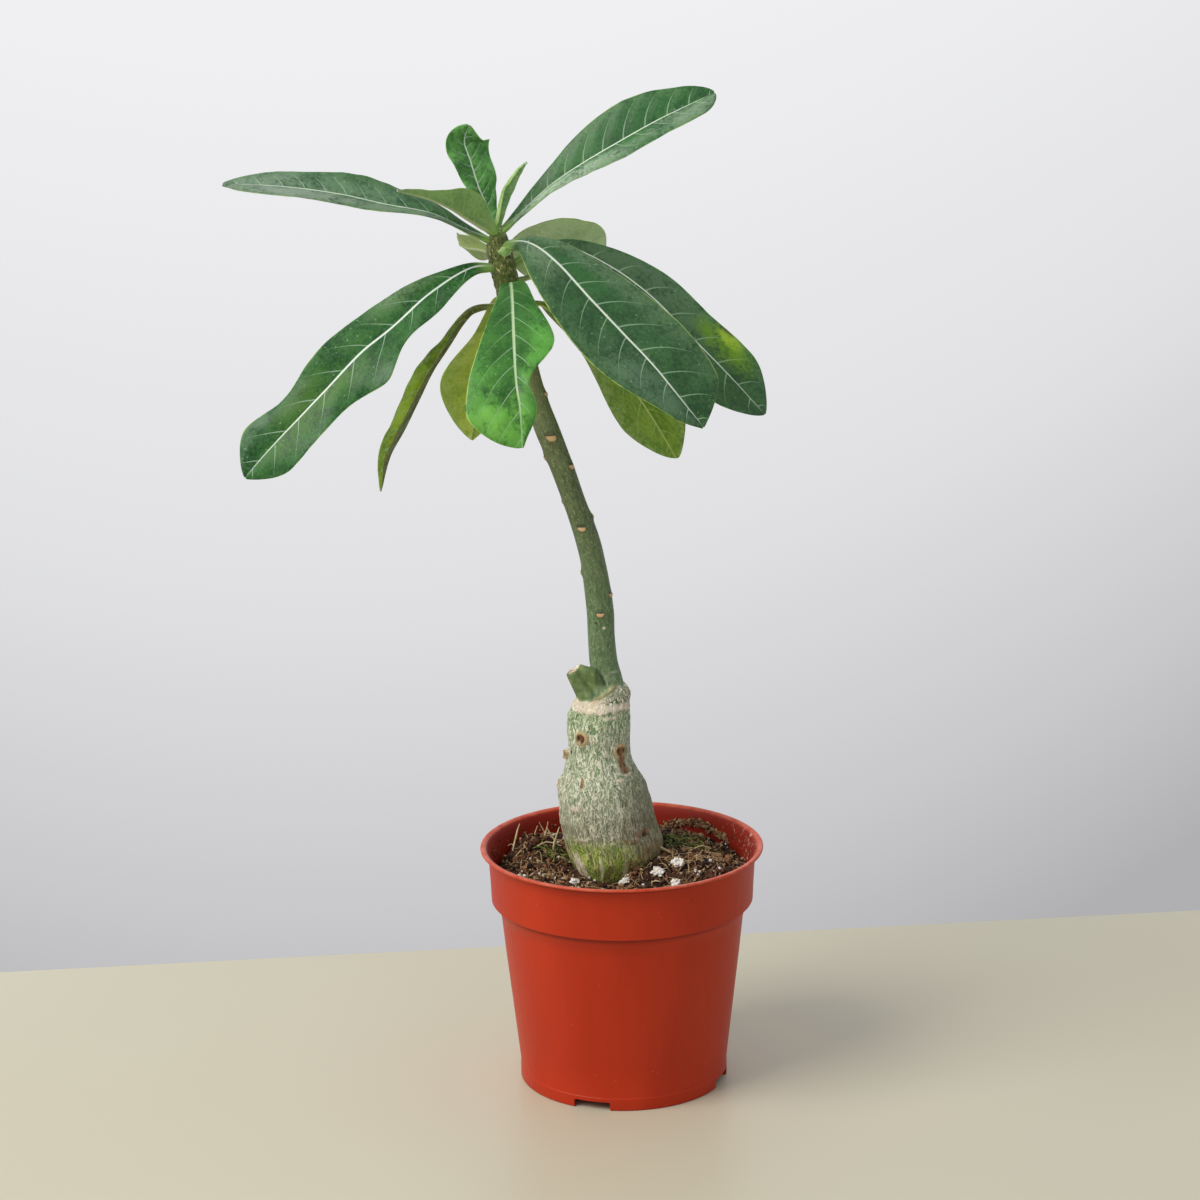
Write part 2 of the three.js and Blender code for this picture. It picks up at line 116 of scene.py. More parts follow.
def applyModifiers(thing):
    makeActive(thing)
    for modifier in list(thing.modifiers):
        bpy.ops.object.modifier_apply(modifier=modifier.name)


def applyPlace(thing):
    makeActive(thing)
    bpy.ops.object.transform_apply(location=True, rotation=True, scale=True)


def addPrimitive(kind, **settings):
    deselectAll()
    getattr(bpy.ops.mesh, "primitive_" + kind + "_add")(**settings)
    return bpy.context.object


def addModifier(thing, kind, **settings):
    modifier = thing.modifiers.new(kind.lower(), kind)
    for name, value in settings.items():
        setattr(modifier, name, value)


def setValues(thing, name, values):
    # a number on each vertex, which the materials read
    thing.data.attributes.new(name, "FLOAT", "POINT").data.foreach_set("value", values)


def onCircle(radius, degrees):
    return radius * math.cos(math.radians(degrees)), radius * math.sin(math.radians(degrees))


def joinAll(things):
    deselectAll()
    for thing in things:
        thing.select_set(True)
    bpy.context.view_layer.objects.active = things[0]
    bpy.ops.object.join()
    return things[0]


def shadeSmooth(thing, angle=None):
    makeActive(thing)
    if angle is None:
        bpy.ops.object.shade_smooth()
    else:
        bpy.ops.object.shade_smooth_by_angle(angle=math.radians(angle))


def setPiece(thing, name, materials, slotName, node=None):
    thing.name = name
    thing.data.name = name
    for material in materials:
        thing.data.materials.append(material)
    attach(thing, "root")
    if node:
        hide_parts(node)
    return thing


def smoothStep(value, low, high):
    share = np.clip((value - low) / (high - low), 0, 1)
    return share * share * (3 - 2 * share)


def between(rows, share):
    # a smooth value between the rows of a list, from 0 at the first row to 1 at the last
    last = len(rows) - 1
    i = min(int(share * last), last - 1)
    f = share * last - i
    result = []
    for k in range(len(rows[i])):
        p1, p2 = rows[i][k], rows[i + 1][k]
        p0 = rows[i - 1][k] if i > 0 else 2 * p1 - p2
        p3 = rows[i + 2][k] if i < last - 1 else 2 * p2 - p1
        m1, m2 = (p2 - p0) / 2, (p3 - p1) / 2
        square = (3 * (p2 - p1) - 2 * m1 - m2) * f ** 2
        result.append(p1 + m1 * f + square + (2 * (p1 - p2) + m1 + m2) * f ** 3)
    return result


def rolledGrid(around, rings, place):
    # a grid rolled into a closed body; place(turn, ring) gives a vertex in millimetres
    body = addPrimitive("grid", x_subdivisions=around, y_subdivisions=rings - 1, size=1)
    for vertex in body.data.vertices:
        turn = round((vertex.co.x + 0.5) * around) / around
        ring = round((vertex.co.y + 0.5) * (rings - 1))
        vertex.co = Vector(place(turn % 1, ring)) * mm
    bpy.ops.object.mode_set(mode="EDIT")
    bpy.ops.mesh.select_all(action="SELECT")
    bpy.ops.mesh.remove_doubles(threshold=1e-7)
    bpy.ops.mesh.fill_holes(sides=0)
    bpy.ops.mesh.select_all(action="SELECT")
    bpy.ops.mesh.normals_make_consistent(inside=False)
    bpy.ops.object.mode_set(mode="OBJECT")
    return body


def scatter(name, base, places):
    # copies one small mesh to many places in millimetres: (place, turn, scale, tone)
    mesh = bmesh.new()
    tone = mesh.verts.layers.float.new("tone")
    for place, turn, scale, shade in places:
        first = len(mesh.verts)
        mesh.from_mesh(base.data)
        mesh.verts.ensure_lookup_table()
        spread = Euler(turn).to_matrix() @ Matrix.Diagonal(scale)
        for vertex in mesh.verts[first:]:
            vertex.co = (spread @ vertex.co + Vector(place)) * mm
            vertex[tone] = shade
    data = bpy.data.meshes.new(name)
    mesh.to_mesh(data)
    mesh.free()
    thing = bpy.data.objects.new(name, data)
    scene.collection.objects.link(thing)
    shadeSmooth(thing)
    return thing


def strands(name, paths, sides=2):
    # round tapered strands along paths of (x, y, z, radius) in millimetres, as one mesh
    curve = bpy.data.curves.new(name, "CURVE")
    for setting, value in {"dimensions": "3D", "bevel_depth": mm, "bevel_resolution": sides - 2,
            "resolution_u": 2, "use_fill_caps": True}.items():
        setattr(curve, setting, value)
    for path in paths:
        spline = curve.splines.new("NURBS")
        spline.points.add(len(path) - 1)
        spline.use_endpoint_u = True
        spline.order_u = 3
        for point, (x, y, z, radius) in zip(spline.points, path):
            point.co = (x * mm, y * mm, z * mm, 1)
            point.radius = radius
    thing = bpy.data.objects.new(name, curve)
    scene.collection.objects.link(thing)
    makeActive(thing)
    bpy.ops.object.convert(target="MESH")
    thing = bpy.context.object
    shadeSmooth(thing)
    return thing


studio = {
    "cameraPlace": (0, -1.111, 0.464), "cameraDown": 13.76, "cameraTurn": 0.38, "cameraTilt": -0.65,
    "lens": 90, "keyPlace": (-1.25, -0.75, 1.45), "keyAim": (0, 0, 0.16), "keySize": 1.15, "keyPower": 31,
    "keyColour": "#fff8ee", "skyColour": "#f1f3f8", "skyStrength": 0.55, "floorColour": "#cac7b1",
    "floorCloud": "#c6c1ab", "floorBack": 0.148, "floorTurn": 7, "floorSize": 4,
    "wallGlowColours": [(0, "#b0b0b2"), (0.2, "#c7c7c9"), (0.53, "#e1e1e3"), (1, "#f0f0f2")], "wallDistance": 2.3,
    "wallMiddle": 0.4, "wallSize": 7,
}


def setStudio():
    bpy.ops.object.camera_add(location=studio["cameraPlace"])
    camera = bpy.context.object
    turns = [(studio["cameraTurn"], "Z"), (90 - studio["cameraDown"], "X"), (studio["cameraTilt"], "Z")]
    matrix = Matrix.Translation(studio["cameraPlace"])
    for angle, axis in turns:
        matrix = matrix @ Matrix.Rotation(math.radians(angle), 4, axis)
    camera.matrix_world = matrix
    camera.data.sensor_width = 36
    camera.data.lens = studio["lens"]
    scene.camera = camera
    scene.view_settings.view_transform = "Standard"

    bpy.ops.object.light_add(type="AREA", location=studio["keyPlace"])
    key = bpy.context.object
    key.data.size = studio["keySize"]
    key.data.energy = studio["keyPower"]
    key.data.color = linear(studio["keyColour"])[:3]
    aim = Vector(studio["keyAim"]) - Vector(studio["keyPlace"])
    key.rotation_euler = aim.to_track_quat("-Z", "Y").to_euler()

    world = bpy.data.worlds.new("softRoom")
    scene.world = world
    world.use_nodes = True
    sky = world.node_tree.nodes["Background"]
    sky.inputs["Color"].default_value = linear(studio["skyColour"])
    sky.inputs["Strength"].default_value = studio["skyStrength"]


def makeFloor():
    # satin laminate table top: plain, with a weak soft reflection of the pot
    laminate, add = newMaterial("satinLaminate")
    cloud = add("TexNoise", add("TexCoord").outputs["Object"], 3, 3)
    tint = add("ValToRGB", cloud, stops=[(0.3, studio["floorCloud"]), (0.7, studio["floorColour"])])
    setSurface(laminate, {"Base Color": tint, "Roughness": 0.42, "IOR": 1.45})
    size, turn = studio["floorSize"], math.radians(studio["floorTurn"])
    middle = Vector((0, studio["floorBack"], 0)) - Matrix.Rotation(turn, 3, "Z") @ Vector((0, size / 2, 0))
    floor = addPrimitive("plane", size=size, location=middle, rotation=(0, 0, turn))

    # a plain pale wall that glows by itself, a painted light graded darker towards the bottom, far enough
    # back that the camera can pass in front of it
    wallGlow, add = newMaterial("glowingWall")
    spot = add("SeparateXYZ", add("TexCoord").outputs["Object"])
    bend = add("Math", spot.outputs["X"], -0.35, -0.24, operation="MULTIPLY_ADD")
    slope = add("Math", spot.outputs["X"], bend, spot.outputs["Z"], operation="MULTIPLY_ADD")
    tint = add("ValToRGB", add("MapRange", slope, -1, 0.3), stops=studio["wallGlowColours"])
    setSurface(wallGlow, {"Emission Color": tint, "Emission Strength": 1, "Base Color": "#000000",
        "Roughness": 1, "Specular IOR Level": 0})
    place = (0, studio["wallDistance"], studio["wallMiddle"])
    wall = addPrimitive("plane", size=studio["wallSize"], location=place, rotation=(math.pi / 2, 0, 0))
    for sheet, name, material in ((floor, "floor", laminate), (wall, "backdrop", wallGlow)):
        applyPlace(sheet)
        sheet.name = name
        sheet.data.materials.append(material)
    print("camera, light and floor set")


setStudio()
makeFloor()


pot = {
    "sides": 192,
    "profile": [(0, 0.4), (2, 0.4), (2.2, 0), (7, 0), (7.5, 3.5), (24, 3.5), (38, 3.5), (38, 0), (40.3, 0),
        (40.7, 0.4), (40.7, 4.8), (40.55, 5), (40.45, 5.3), (41.85, 18), (43.65, 34), (45.6, 51),
        (47.0, 64.6), (47.2, 66.4), (47.65, 68.1), (48.3, 69.8), (48.8, 71.2), (48.95, 72.1), (49.1, 72.75),
        (50.8, 72.85), (50.95, 73.05), (51.3, 81), (51.9, 91.2), (52.2, 92.3), (52.8, 92.9), (54.5, 93.1),
        (54.85, 93.25), (55, 93.65), (54.9, 94.05), (54.5, 94.3), (53.8, 94.3), (53.1, 94.05), (52.4, 93.4),
        (51.75, 92.1), (51.1, 90.2), (50.2, 82), (49.62, 74), (48.9, 73.2), (47.8, 72), (47, 70), (46.3, 68),
        (45.9, 66), (44.4, 51), (42.6, 34), (40.8, 18), (39.3, 6), (38, 4.7), (20, 4.7), (0, 4.7)],
    "cornerRound": 0.15,
    # in metres: heights, and the radii that part the inner skin from the outer; the same for the lip's
    # flare; heights of the painted shade in the crease, with its strength
    "innerSkin": (0.0732, 0.0902, 0.0502, 0.0514), "flare": (0.0902, 0.0934, 0, 0.0013),
    "crease": (0.0702, 0.0726, 0, 0.6), "creaseShadeRadius": 0.0502, "wallFoot": 0.0745, "notches": 4,
    "notchFirst": -108, "notchWidth": 14.5, "notchHeight": 3.4, "notchDepth": 14.4, "notchCircle": 39.2,
    "notchRound": 0.5, "drains": 8, "drainRadius": 1.8, "drainCircle": 27, "drainMiddle": 4.1,
    # inside: the inner wall's colour, darker than the outside, partly its own deeper red and partly painted
    # shade
    "colour": "#b02c0d", "bright": "#bc3412", "worn": "#dc7a60", "inside": "#8f1f09", "partingLine": 204,
}


def polypropylene():
    # injection-moulded polypropylene: satin, a faint orange-peel skin, flow marks and a parting line
    material, add = newMaterial("mouldedPolypropylene")
    place = add("TexCoord").outputs["Object"]
    axes = add("SeparateXYZ", place)
    height = axes.outputs["Z"]
    flow = add("Mapping", place, Scale=(1, 1, 0.25))
    cloud = add("TexNoise", flow, 45, 5)  # 22 mm patches, drawn out upwards
    tint = add("ValToRGB", cloud, stops=[(0.3, pot["colour"]), (0.72, pot["bright"])])

    # the inner wall is duller, and its darker, deeper red is partly its own colour and partly painted shade,
    # with dried soil and pale salt near the soil
    level = add("CombineXYZ", axes.outputs["X"], axes.outputs["Y"])
    radius = add("VectorMath", level, operation="LENGTH").outputs["Value"]
    # this radius lies between the outer skin and the inner one, and bends at the lip's flare
    innerAt = add("MapRange", height, *pot["innerSkin"])
    flare = add("MapRange", height, *pot["flare"])
    innerAt = add("Math", innerAt, flare)
    inside = add("Math", radius, innerAt, operation="LESS_THAN")
    aboveSoil = add("Math", height, pot["wallFoot"], operation="GREATER_THAN")
    inside = add("Math", inside, aboveSoil, **product)
    layers = [(inside, pot["inside"])]  # cover and colour, from the lowest
    crust = add("TexNoise", place, 900, 4, 0.7)
    lowness = add("MapRange", height, 0.0925, 0.082, 0, 0.16)
    dirt = add("Math", crust, lowness)
    dirt = add("MapRange", dirt, 0.73, 0.79)
    dirt = add("Math", dirt, inside, **product)
    layers.append((dirt, "#4a2c1e"))
    saltSide = add("MapRange", axes.outputs["X"], 0.030, 0.05, 0, 0.14)
    saltGrain = add("TexNoise", place, 620, 5, 0.75, Distortion=0.6)
    salt = add("Math", saltGrain, saltSide)
    salt = add("MapRange", salt, 0.70, 0.76)
    salt = add("Math", salt, inside, **product)
    layers.append((salt, "#cdb7a2"))

    # the lip is paler, unevenly: partly rubbed wear, partly painted sheen
    lip = add("MapRange", height, 0.0931, 0.0942)
    rubAndSheen = add("TexNoise", place, 160, 6, 0.65)
    rubAndSheen = add("MapRange", rubAndSheen, 0.3, 0.65, 0, 0.7)
    rubAndSheen = add("Math", lip, rubAndSheen, **product)
    layers.append((rubAndSheen, pot["worn"]))

    # pale dust specks, 0.6 mm across
    speck = add("TexVoronoi", place, 160)
    speck = add("MapRange", speck.outputs["Distance"], 0.05, 0.03, 0, 0.25)
    layers.append((speck, "#d9927c"))
    # painted shade in the crease under the collar; the same mask also darkens the inner wall up to about 82
    # mm
    crease = add("MapRange", height, *pot["crease"])
    crease = add("Math", crease, add("Math", radius, pot["creaseShadeRadius"], operation="LESS_THAN"), **product)
    layers.append((crease, "#4a1006"))
    for cover, colour in layers:
        tint = add("MixRGB", cover, tint, colour)

    # skin: 0.7 mm orange peel, and the two parting lines half a turn apart
    peel = add("TexNoise", place, 1500, 2)
    wave = add("TexNoise", flow, 110, 2)
    wave = add("Math", wave, 2.5, **product)
    skin = add("Math", peel, wave)
    turned = add("Mapping", place, Rotation=(0, 0, math.radians(pot["partingLine"])), vector_type="TEXTURE")
    across = add("SeparateXYZ", turned).outputs["Y"]
    across = add("Math", across, operation="ABSOLUTE")
    line = add("MapRange", across, 0.0005, 0.0001, 0, 3.5)
    skin = add("Math", skin, line)
    bump = add("Bump", 0.25, 0.0002, Height=skin)
    gloss = add("MapRange", cloud, 0.3, 0.75, 0.36, 0.48)
    rough = add("Math", gloss, add("Math", inside, 0.2, **product))
    return setSurface(material, {"Base Color": tint, "Normal": bump, "Roughness": rough, "IOR": 1.49,
        "Specular IOR Level": 0.25})


def makePot():
    points = [Vector((r * mm, 0, z * mm)) for r, z in pot["profile"]]
    data = bpy.data.meshes.new("nurseryPot")
    data.from_pydata(points, [(i, i + 1) for i in range(len(points) - 1)], [])
    body = bpy.data.objects.new("nurseryPot", data)
    scene.collection.objects.link(body)
    makeActive(body)
    bpy.ops.object.mode_set(mode="EDIT")
    bpy.ops.mesh.select_all(action="SELECT")
    bpy.ops.mesh.spin(steps=pot["sides"], angle=2 * math.pi, center=(0, 0, 0), axis=(0, 0, 1))
    bpy.ops.mesh.select_all(action="SELECT")
    bpy.ops.mesh.remove_doubles(threshold=1e-6)
    bpy.ops.mesh.normals_make_consistent(inside=False)
    bpy.ops.object.mode_set(mode="OBJECT")
    addModifier(body, "BEVEL", width=pot["cornerRound"] * mm, segments=2, limit_method="ANGLE",
        angle_limit=math.radians(40))

    cutters = []
    for i in range(pot["notches"]):
        degrees = pot["notchFirst"] + i * 360 / pot["notches"]
        cutter = addPrimitive("cube", size=1, location=(*onCircle(pot["notchCircle"] * mm, degrees), 0),
            rotation=(0, 0, math.radians(degrees)))
        cutter.scale = (pot["notchDepth"] * mm, pot["notchWidth"] * mm, 2 * pot["notchHeight"] * mm)
        applyPlace(cutter)
        addModifier(cutter, "BEVEL", width=pot["notchRound"] * mm, segments=2)
        applyModifiers(cutter)
        cutters.append(cutter)
    for i in range(pot["drains"]):
        spot = onCircle(pot["drainCircle"] * mm, pot["notchFirst"] + i * 360 / pot["drains"])
        cutter = addPrimitive("cylinder", vertices=24, radius=pot["drainRadius"] * mm, depth=5 * mm,
            location=(*spot, pot["drainMiddle"] * mm))
        applyPlace(cutter)
        cutters.append(cutter)
    cutter = joinAll(cutters)
    addModifier(body, "BOOLEAN", operation="DIFFERENCE", object=cutter, solver="EXACT")
    applyModifiers(body)
    bpy.data.objects.remove(cutter)
    shadeSmooth(body, 32)
    setPiece(body, "nurseryPot", [polypropylene()], "pot_plastic", "pot")
    print("pot made")


makePot()


soil = {
    "front": 82.3, "rise": 6, "edgeDrop": 3,
    # x, y, height and spread: the heap behind on the left, the bank right of the trunk, and dips
    "humps": [(-35, 25, 6.5, 9), (15, -7, 3.4, 6), (6, -13, 3.4, 4.5), (-6, -13, -2.6, 5), (40, 13, -3.4, 7)],
    # radius and height of the rings below the surface, and the surface's own radius
    "sideRings": [(37.3, 5), (38.7, 6.4), (44.9, 68.5), (49.3, 73.5)], "radius": 49.35, "around": 150,
    "topRings": 46, "seed": 11, "trunk": (-3, 6), "trunkRadius": 16.6, "mossRadius": 18.5,
    # count, outermost place, and the ranges of size, three widths, lift and tone
    "crumbs": (3100, 48.3, (0.5, 1.7), ((0.7, 1.9), (0.5, 1), (0.4, 0.9)), (0, 0.6), (0.8, 0.95)),
    "lumps": (420, 47, (1.5, 3.4), ((0.8, 1.4), (0.6, 1), (0.5, 0.9)), (-0.05, 0.35), (1.8, 2.6)),
    # count and angles of the dried soil on the wall, and heights of its upper edge between them
    "crust": 330, "crustFrom": 33, "crustTo": 72, "crustEdge": [85.3, 86.9, 88.2, 89.3, 88.9, 87.2, 84.6],
    "crustRadius": 50.0, "crustDots": 60, "dotRadius": 50.1, "wallFoot": 73, "wallSlope": 0.06, "fibres": 430,
    "rightFibres": 90, "perlite": 150,
    # middle and spread in x and y of each patch of moss: behind on the right, and a few tufts on the left
    "moss": 110,
    "mossPatches": [(26, 15, 9, 5), (22, 20, 6, 4), (-27, 15, 5, 4), (24, 18, 7, 5), (-22, 14, 3, 3)],
    # how far out a strand may lie
    "strandReach": 48.6,
    # x, y and size of the small grains that the photograph shows
    "grains": [(-24.9, 12, 1.7), (-22.9, 12.7, 1.5), (-24.8, -17.7, 1.5), (-40.1, -3.5, 1.9),
        (-37.9, -2.9, 1.7), (37.3, -13.8, 2), (34.1, -6.3, 1.5), (30, -15.6, 1.4), (-9, -21.3, 1.9),
        (43.1, -13, 1.6), (8.1, -18.9, 1.5), (-0.5, -13.4, 2)],
    "colours": [(0, "#21150e"), (0.22, "#40291c"), (0.45, "#67422e"), (0.62, "#845a40"), (0.8, "#a47d58"),
        (1, "#cbb088")],
    # dry straw-coloured roots that stand up on the left, and one that leaves the trunk on the right
    "roots": [
        [(-43.2, 19.5, 85, 0.3), (-42.6, 20, 88, 0.36), (-41.7, 21.6, 91, 0.4), (-41.2, 22.2, 93.4, 0.3),
        (-40.3, 22.6, 95.4, 0.18)],
        [(-42.6, 20, 87, 0.2), (-44, 20.5, 88.6, 0.2), (-45, 19, 87.4, 0.14)],
        [(-31, 25, 85, 0.36), (-30.9, 24.4, 89, 0.4), (-29.6, 23.8, 92.6, 0.34), (-29.1, 23, 96, 0.16)],
        [(-30.4, 24.4, 91, 0.26), (-31.4, 24, 93, 0.24), (-32.6, 23.2, 95.6, 0.12)],
        [(-27.3, 18.6, 83.5, 0.52), (-27, 18, 88, 0.5), (-25.8, 17.2, 91.6, 0.42), (-24.6, 16.6, 95.8, 0.2)],
        [(-26.4, 17.6, 90, 0.34), (-28.2, 17.4, 92.8, 0.28), (-29.4, 17.2, 95.4, 0.14)],
        [(-27.6, 18.5, 87, 0.26), (-25.4, 17.6, 89.2, 0.24), (-22.6, 17.6, 91, 0.14)],
        [(-35.4, 27, 86, 0.34), (-34.8, 26.4, 90, 0.3), (-33.4, 26, 93.4, 0.14)],
        [(-36, 23, 87, 0.24), (-37.4, 23.2, 90, 0.2), (-38.6, 22.2, 92.2, 0.1)],
        [(-38, 17, 84.6, 0.24), (-33, 18.5, 88, 0.26), (-28.5, 19.5, 89.4, 0.24), (-24, 18, 87.6, 0.16)],
        [(-44, 12, 83, 0.22), (-40, 15, 86.8, 0.26), (-37, 19.5, 87.6, 0.2), (-35, 24, 89.5, 0.12)],
        [(13.6, 4, 91.6, 0.9), (16.6, 2.4, 91, 0.5), (20, 0.6, 89.9, 0.36), (23.5, -2.4, 88.2, 0.3),
        (25.6, -4.6, 86.4, 0.2)],
        [(23.6, -2.6, 88.4, 0.2), (26.6, -6, 88.9, 0.2), (27.4, -9, 87, 0.18), (30, -12, 86.4, 0.12)],
        [(25, 4, 88.5, 0.2), (29, 7, 90.4, 0.24), (33, 10, 90, 0.2), (36, 11, 87.6, 0.14)],
        [(33, -4, 86, 0.2), (32.6, -5, 89, 0.24), (33.4, -6, 90.6, 0.16)],
        [(10, -17, 83, 0.22), (12, -18.5, 85.6, 0.26), (14.6, -19, 85.2, 0.24), (17, -17.5, 83.6, 0.16)],
        [(20, -15, 84, 0.24), (22.4, -17, 86, 0.24), (23.5, -20.5, 84, 0.2)],
        [(-15.8, -6, 84, 0.3), (-16.6, -6.4, 87, 0.3), (-16.4, -6.6, 89, 0.2)]],
}
dice = random.Random(soil["seed"])


def soilTop(x, y):
    behind = smoothStep(0.75 * x + 0.66 * y, -8, 22)
    edge = smoothStep(math.hypot(x, y), 33, 49)
    heap = sum(tall * math.exp(-((x - left) ** 2 + (y - back) ** 2) / (2 * spread ** 2))
        for left, back, tall, spread in soil["humps"])
    ripple = 0.4 * math.sin(x / 3.1) * math.cos(y / 3.7)
    return soil["front"] + behind * (soil["rise"] - edge * soil["edgeDrop"]) + ripple + heap


def soilSurface(x, y):
    rough = noise.fractal(Vector((x / 6, y / 6, 2.3)), 1.0, 2.0, 4)
    return soilTop(x, y) + 1.5 * rough + 0.5 * noise.noise(Vector((x / 1.1, y / 1.1, 7)))


def pottingSoil():
    # damp peat and bark fines: nearly black in the hollows, red-brown crumbs, quite matt
    material, add = newMaterial("pottingSoil")
    place = add("TexCoord").outputs["Object"]
    tone = add("Attribute", attribute_name="tone").outputs["Fac"]
    grain = add("TexNoise", place, 520, 6, 0.7)  # 2 mm
    spread = add("MapRange", grain, 0.3, 0.75, -0.22, 0.25)
    mixed = add("Math", tone, spread, use_clamp=True)
    tint = add("ValToRGB", mixed, stops=soil["colours"])
    fine = add("TexNoise", place, 1800, 5, 0.7)
    both = add("Math", fine, grain)
    bump = add("Bump", 0.9, 0.0006, Height=both)
    return setSurface(material, {"Base Color": tint, "Normal": bump, "Roughness": 0.92, "IOR": 1.4})


def strandMaterial(name, colours, scale):
    # dry plant fibre: matt, blotched along its length
    material, add = newMaterial(name)
    place = add("TexCoord").outputs["Object"]
    cloud = add("TexNoise", place, scale, 4, 0.65)
    tint = add("ValToRGB", cloud, stops=colours)
    bump = add("Bump", 0.5, 0.0002, Height=cloud)
    return setSurface(material, {"Base Color": tint, "Normal": bump, "Roughness": 0.8, "IOR": 1.4})


def expandedPerlite():
    # puffed volcanic glass: chalk white, pitted, with grey hollows and a little soil dust
    material, add = newMaterial("expandedPerlite")
    place = add("TexCoord").outputs["Object"]
    pits = add("TexVoronoi", place, 1300, feature="SMOOTH_F1")
    dust = add("TexNoise", place, 700, 5, 0.7)
    tint = add("ValToRGB", dust, stops=[(0.28, "#8f8474"), (0.42, "#dcd8cf"), (0.6, "#f3f1ec")])
    bump = add("Bump", 0.8, 0.0005, Height=pits.outputs["Distance"])
    return setSurface(material, {"Base Color": tint, "Normal": bump, "Roughness": 0.85, "IOR": 1.45})


def freePlace(outermost=48.3):
    # a place on the soil that is clear of the trunk
    while True:
        radius = math.sqrt(dice.uniform(0, outermost ** 2))
        angle = dice.uniform(0, 2 * math.pi)
        x, y = radius * math.cos(angle), radius * math.sin(angle)
        if math.hypot(x - soil["trunk"][0], y - soil["trunk"][1]) > soil["trunkRadius"]:
            return x, y


def anyTurn():
    return [dice.uniform(0, 2 * math.pi) for _ in range(3)]


def lyingBits(count, outermost, sizes, widths, lift, tone):
    for _ in range(count):
        x, y = freePlace(outermost)
        size = dice.uniform(*sizes)
        scale = [size * dice.uniform(*width) for width in widths]
        spot = (x, y, soilSurface(x, y) + size * dice.uniform(*lift))
        yield spot, anyTurn(), scale, dice.betavariate(*tone)


def lyingPath(x, y, length, radius, lift, steps=5):
    # a bent strand that lies on the soil, with an arch in its middle
    heading, bend = dice.uniform(0, 2 * math.pi), dice.uniform(-0.5, 0.5)
    path = []
    for i in range(steps):
        hump = lift * math.sin(math.pi * i / (steps - 1))
        reach = min(1, soil["strandReach"] / max(math.hypot(x, y), 1))
        x, y = x * reach, y * reach
        path.append((x, y, soilSurface(x, y) + 0.5 + hump, radius * (1 - 0.5 * i / steps)))
        heading += bend + dice.uniform(-0.35, 0.35)
        x += length / steps * math.cos(heading)
        y += length / steps * math.sin(heading)
    return path


def crumbBase(seed, fine=True):
    # an angular lump of 48 faces, or of 20
    if fine:
        base = addPrimitive("uv_sphere", segments=8, ring_count=6, radius=0.5)
    else:
        base = addPrimitive("ico_sphere", subdivisions=1, radius=0.5)
    for vertex in base.data.vertices:
        vertex.co *= 1 + noise.noise(vertex.co * 3.4 + Vector((seed, 0, 0)))
    return base


def makeGround(material):
    rings = soil["sideRings"]

    def place(turn, ring):
        angle = 2 * math.pi * turn
        if ring < len(rings):
            radius, height = rings[ring]
            return radius * math.cos(angle), radius * math.sin(angle), height
        share = (ring - len(rings)) / (soil["topRings"] - 1)
        radius = soil["radius"] * (1 - share)
        x, y = radius * math.cos(angle), radius * math.sin(angle)
        return x, y, soilSurface(x, y) - (0.6 if share == 0 else 0)

    ground = rolledGrid(soil["around"], len(rings) + soil["topRings"], place)
    setValues(ground, "tone", [0.22 + 0.3 * noise.noise(v.co * 260) for v in ground.data.vertices])
    shadeSmooth(ground)
    setPiece(ground, "pottingSoil", [material], "peat_soil", "soil")


def driedBits():
    # soil dried on the wall: a crust behind on the right, then dots there and on the left
    def onWall(degrees, height, size, radius):
        return (*onCircle(radius + (height - soil["wallFoot"]) * soil["wallSlope"] - size * 0.3, degrees),
            height)

    for _ in range(soil["crust"]):
        angle = dice.uniform(soil["crustFrom"], soil["crustTo"])
        edge = between([(z,) for z in soil["crustEdge"]], (angle - 31) / 41)[0]
        height = edge + dice.gauss(0, 0.8)
        size = dice.uniform(0.4, 1.7)
        spot = onWall(angle, height, size, soil["crustRadius"])
        yield spot, anyTurn(), [size, size * 0.8, size * dice.uniform(0.5, 1)], dice.betavariate(7, 2)
    for _ in range(soil["crustDots"]):
        angle = dice.choice([dice.uniform(5, 75), dice.uniform(118, 178)])
        height = dice.uniform(84, 89) + (2 if angle > 118 else 0)
        size = dice.uniform(0.4, 0.9)
        spot = onWall(angle, height, size, soil["dotRadius"])
        yield spot, anyTurn(), [size] * 3, dice.betavariate(3, 2)


def mossPaths():
    patches, count = soil["mossPatches"], soil["moss"]
    for i in range(count):
        left, back, wide, deep = patches[min(i * len(patches) // count, len(patches) - 1)]
        x, y = dice.gauss(left, wide / 2), dice.gauss(back, deep / 2)
        if math.hypot(x - soil["trunk"][0], y - soil["trunk"][1]) >= soil["mossRadius"]:
            yield lyingPath(x, y, dice.uniform(5, 12), dice.uniform(0.16, 0.5), dice.uniform(0.6, 2.2))


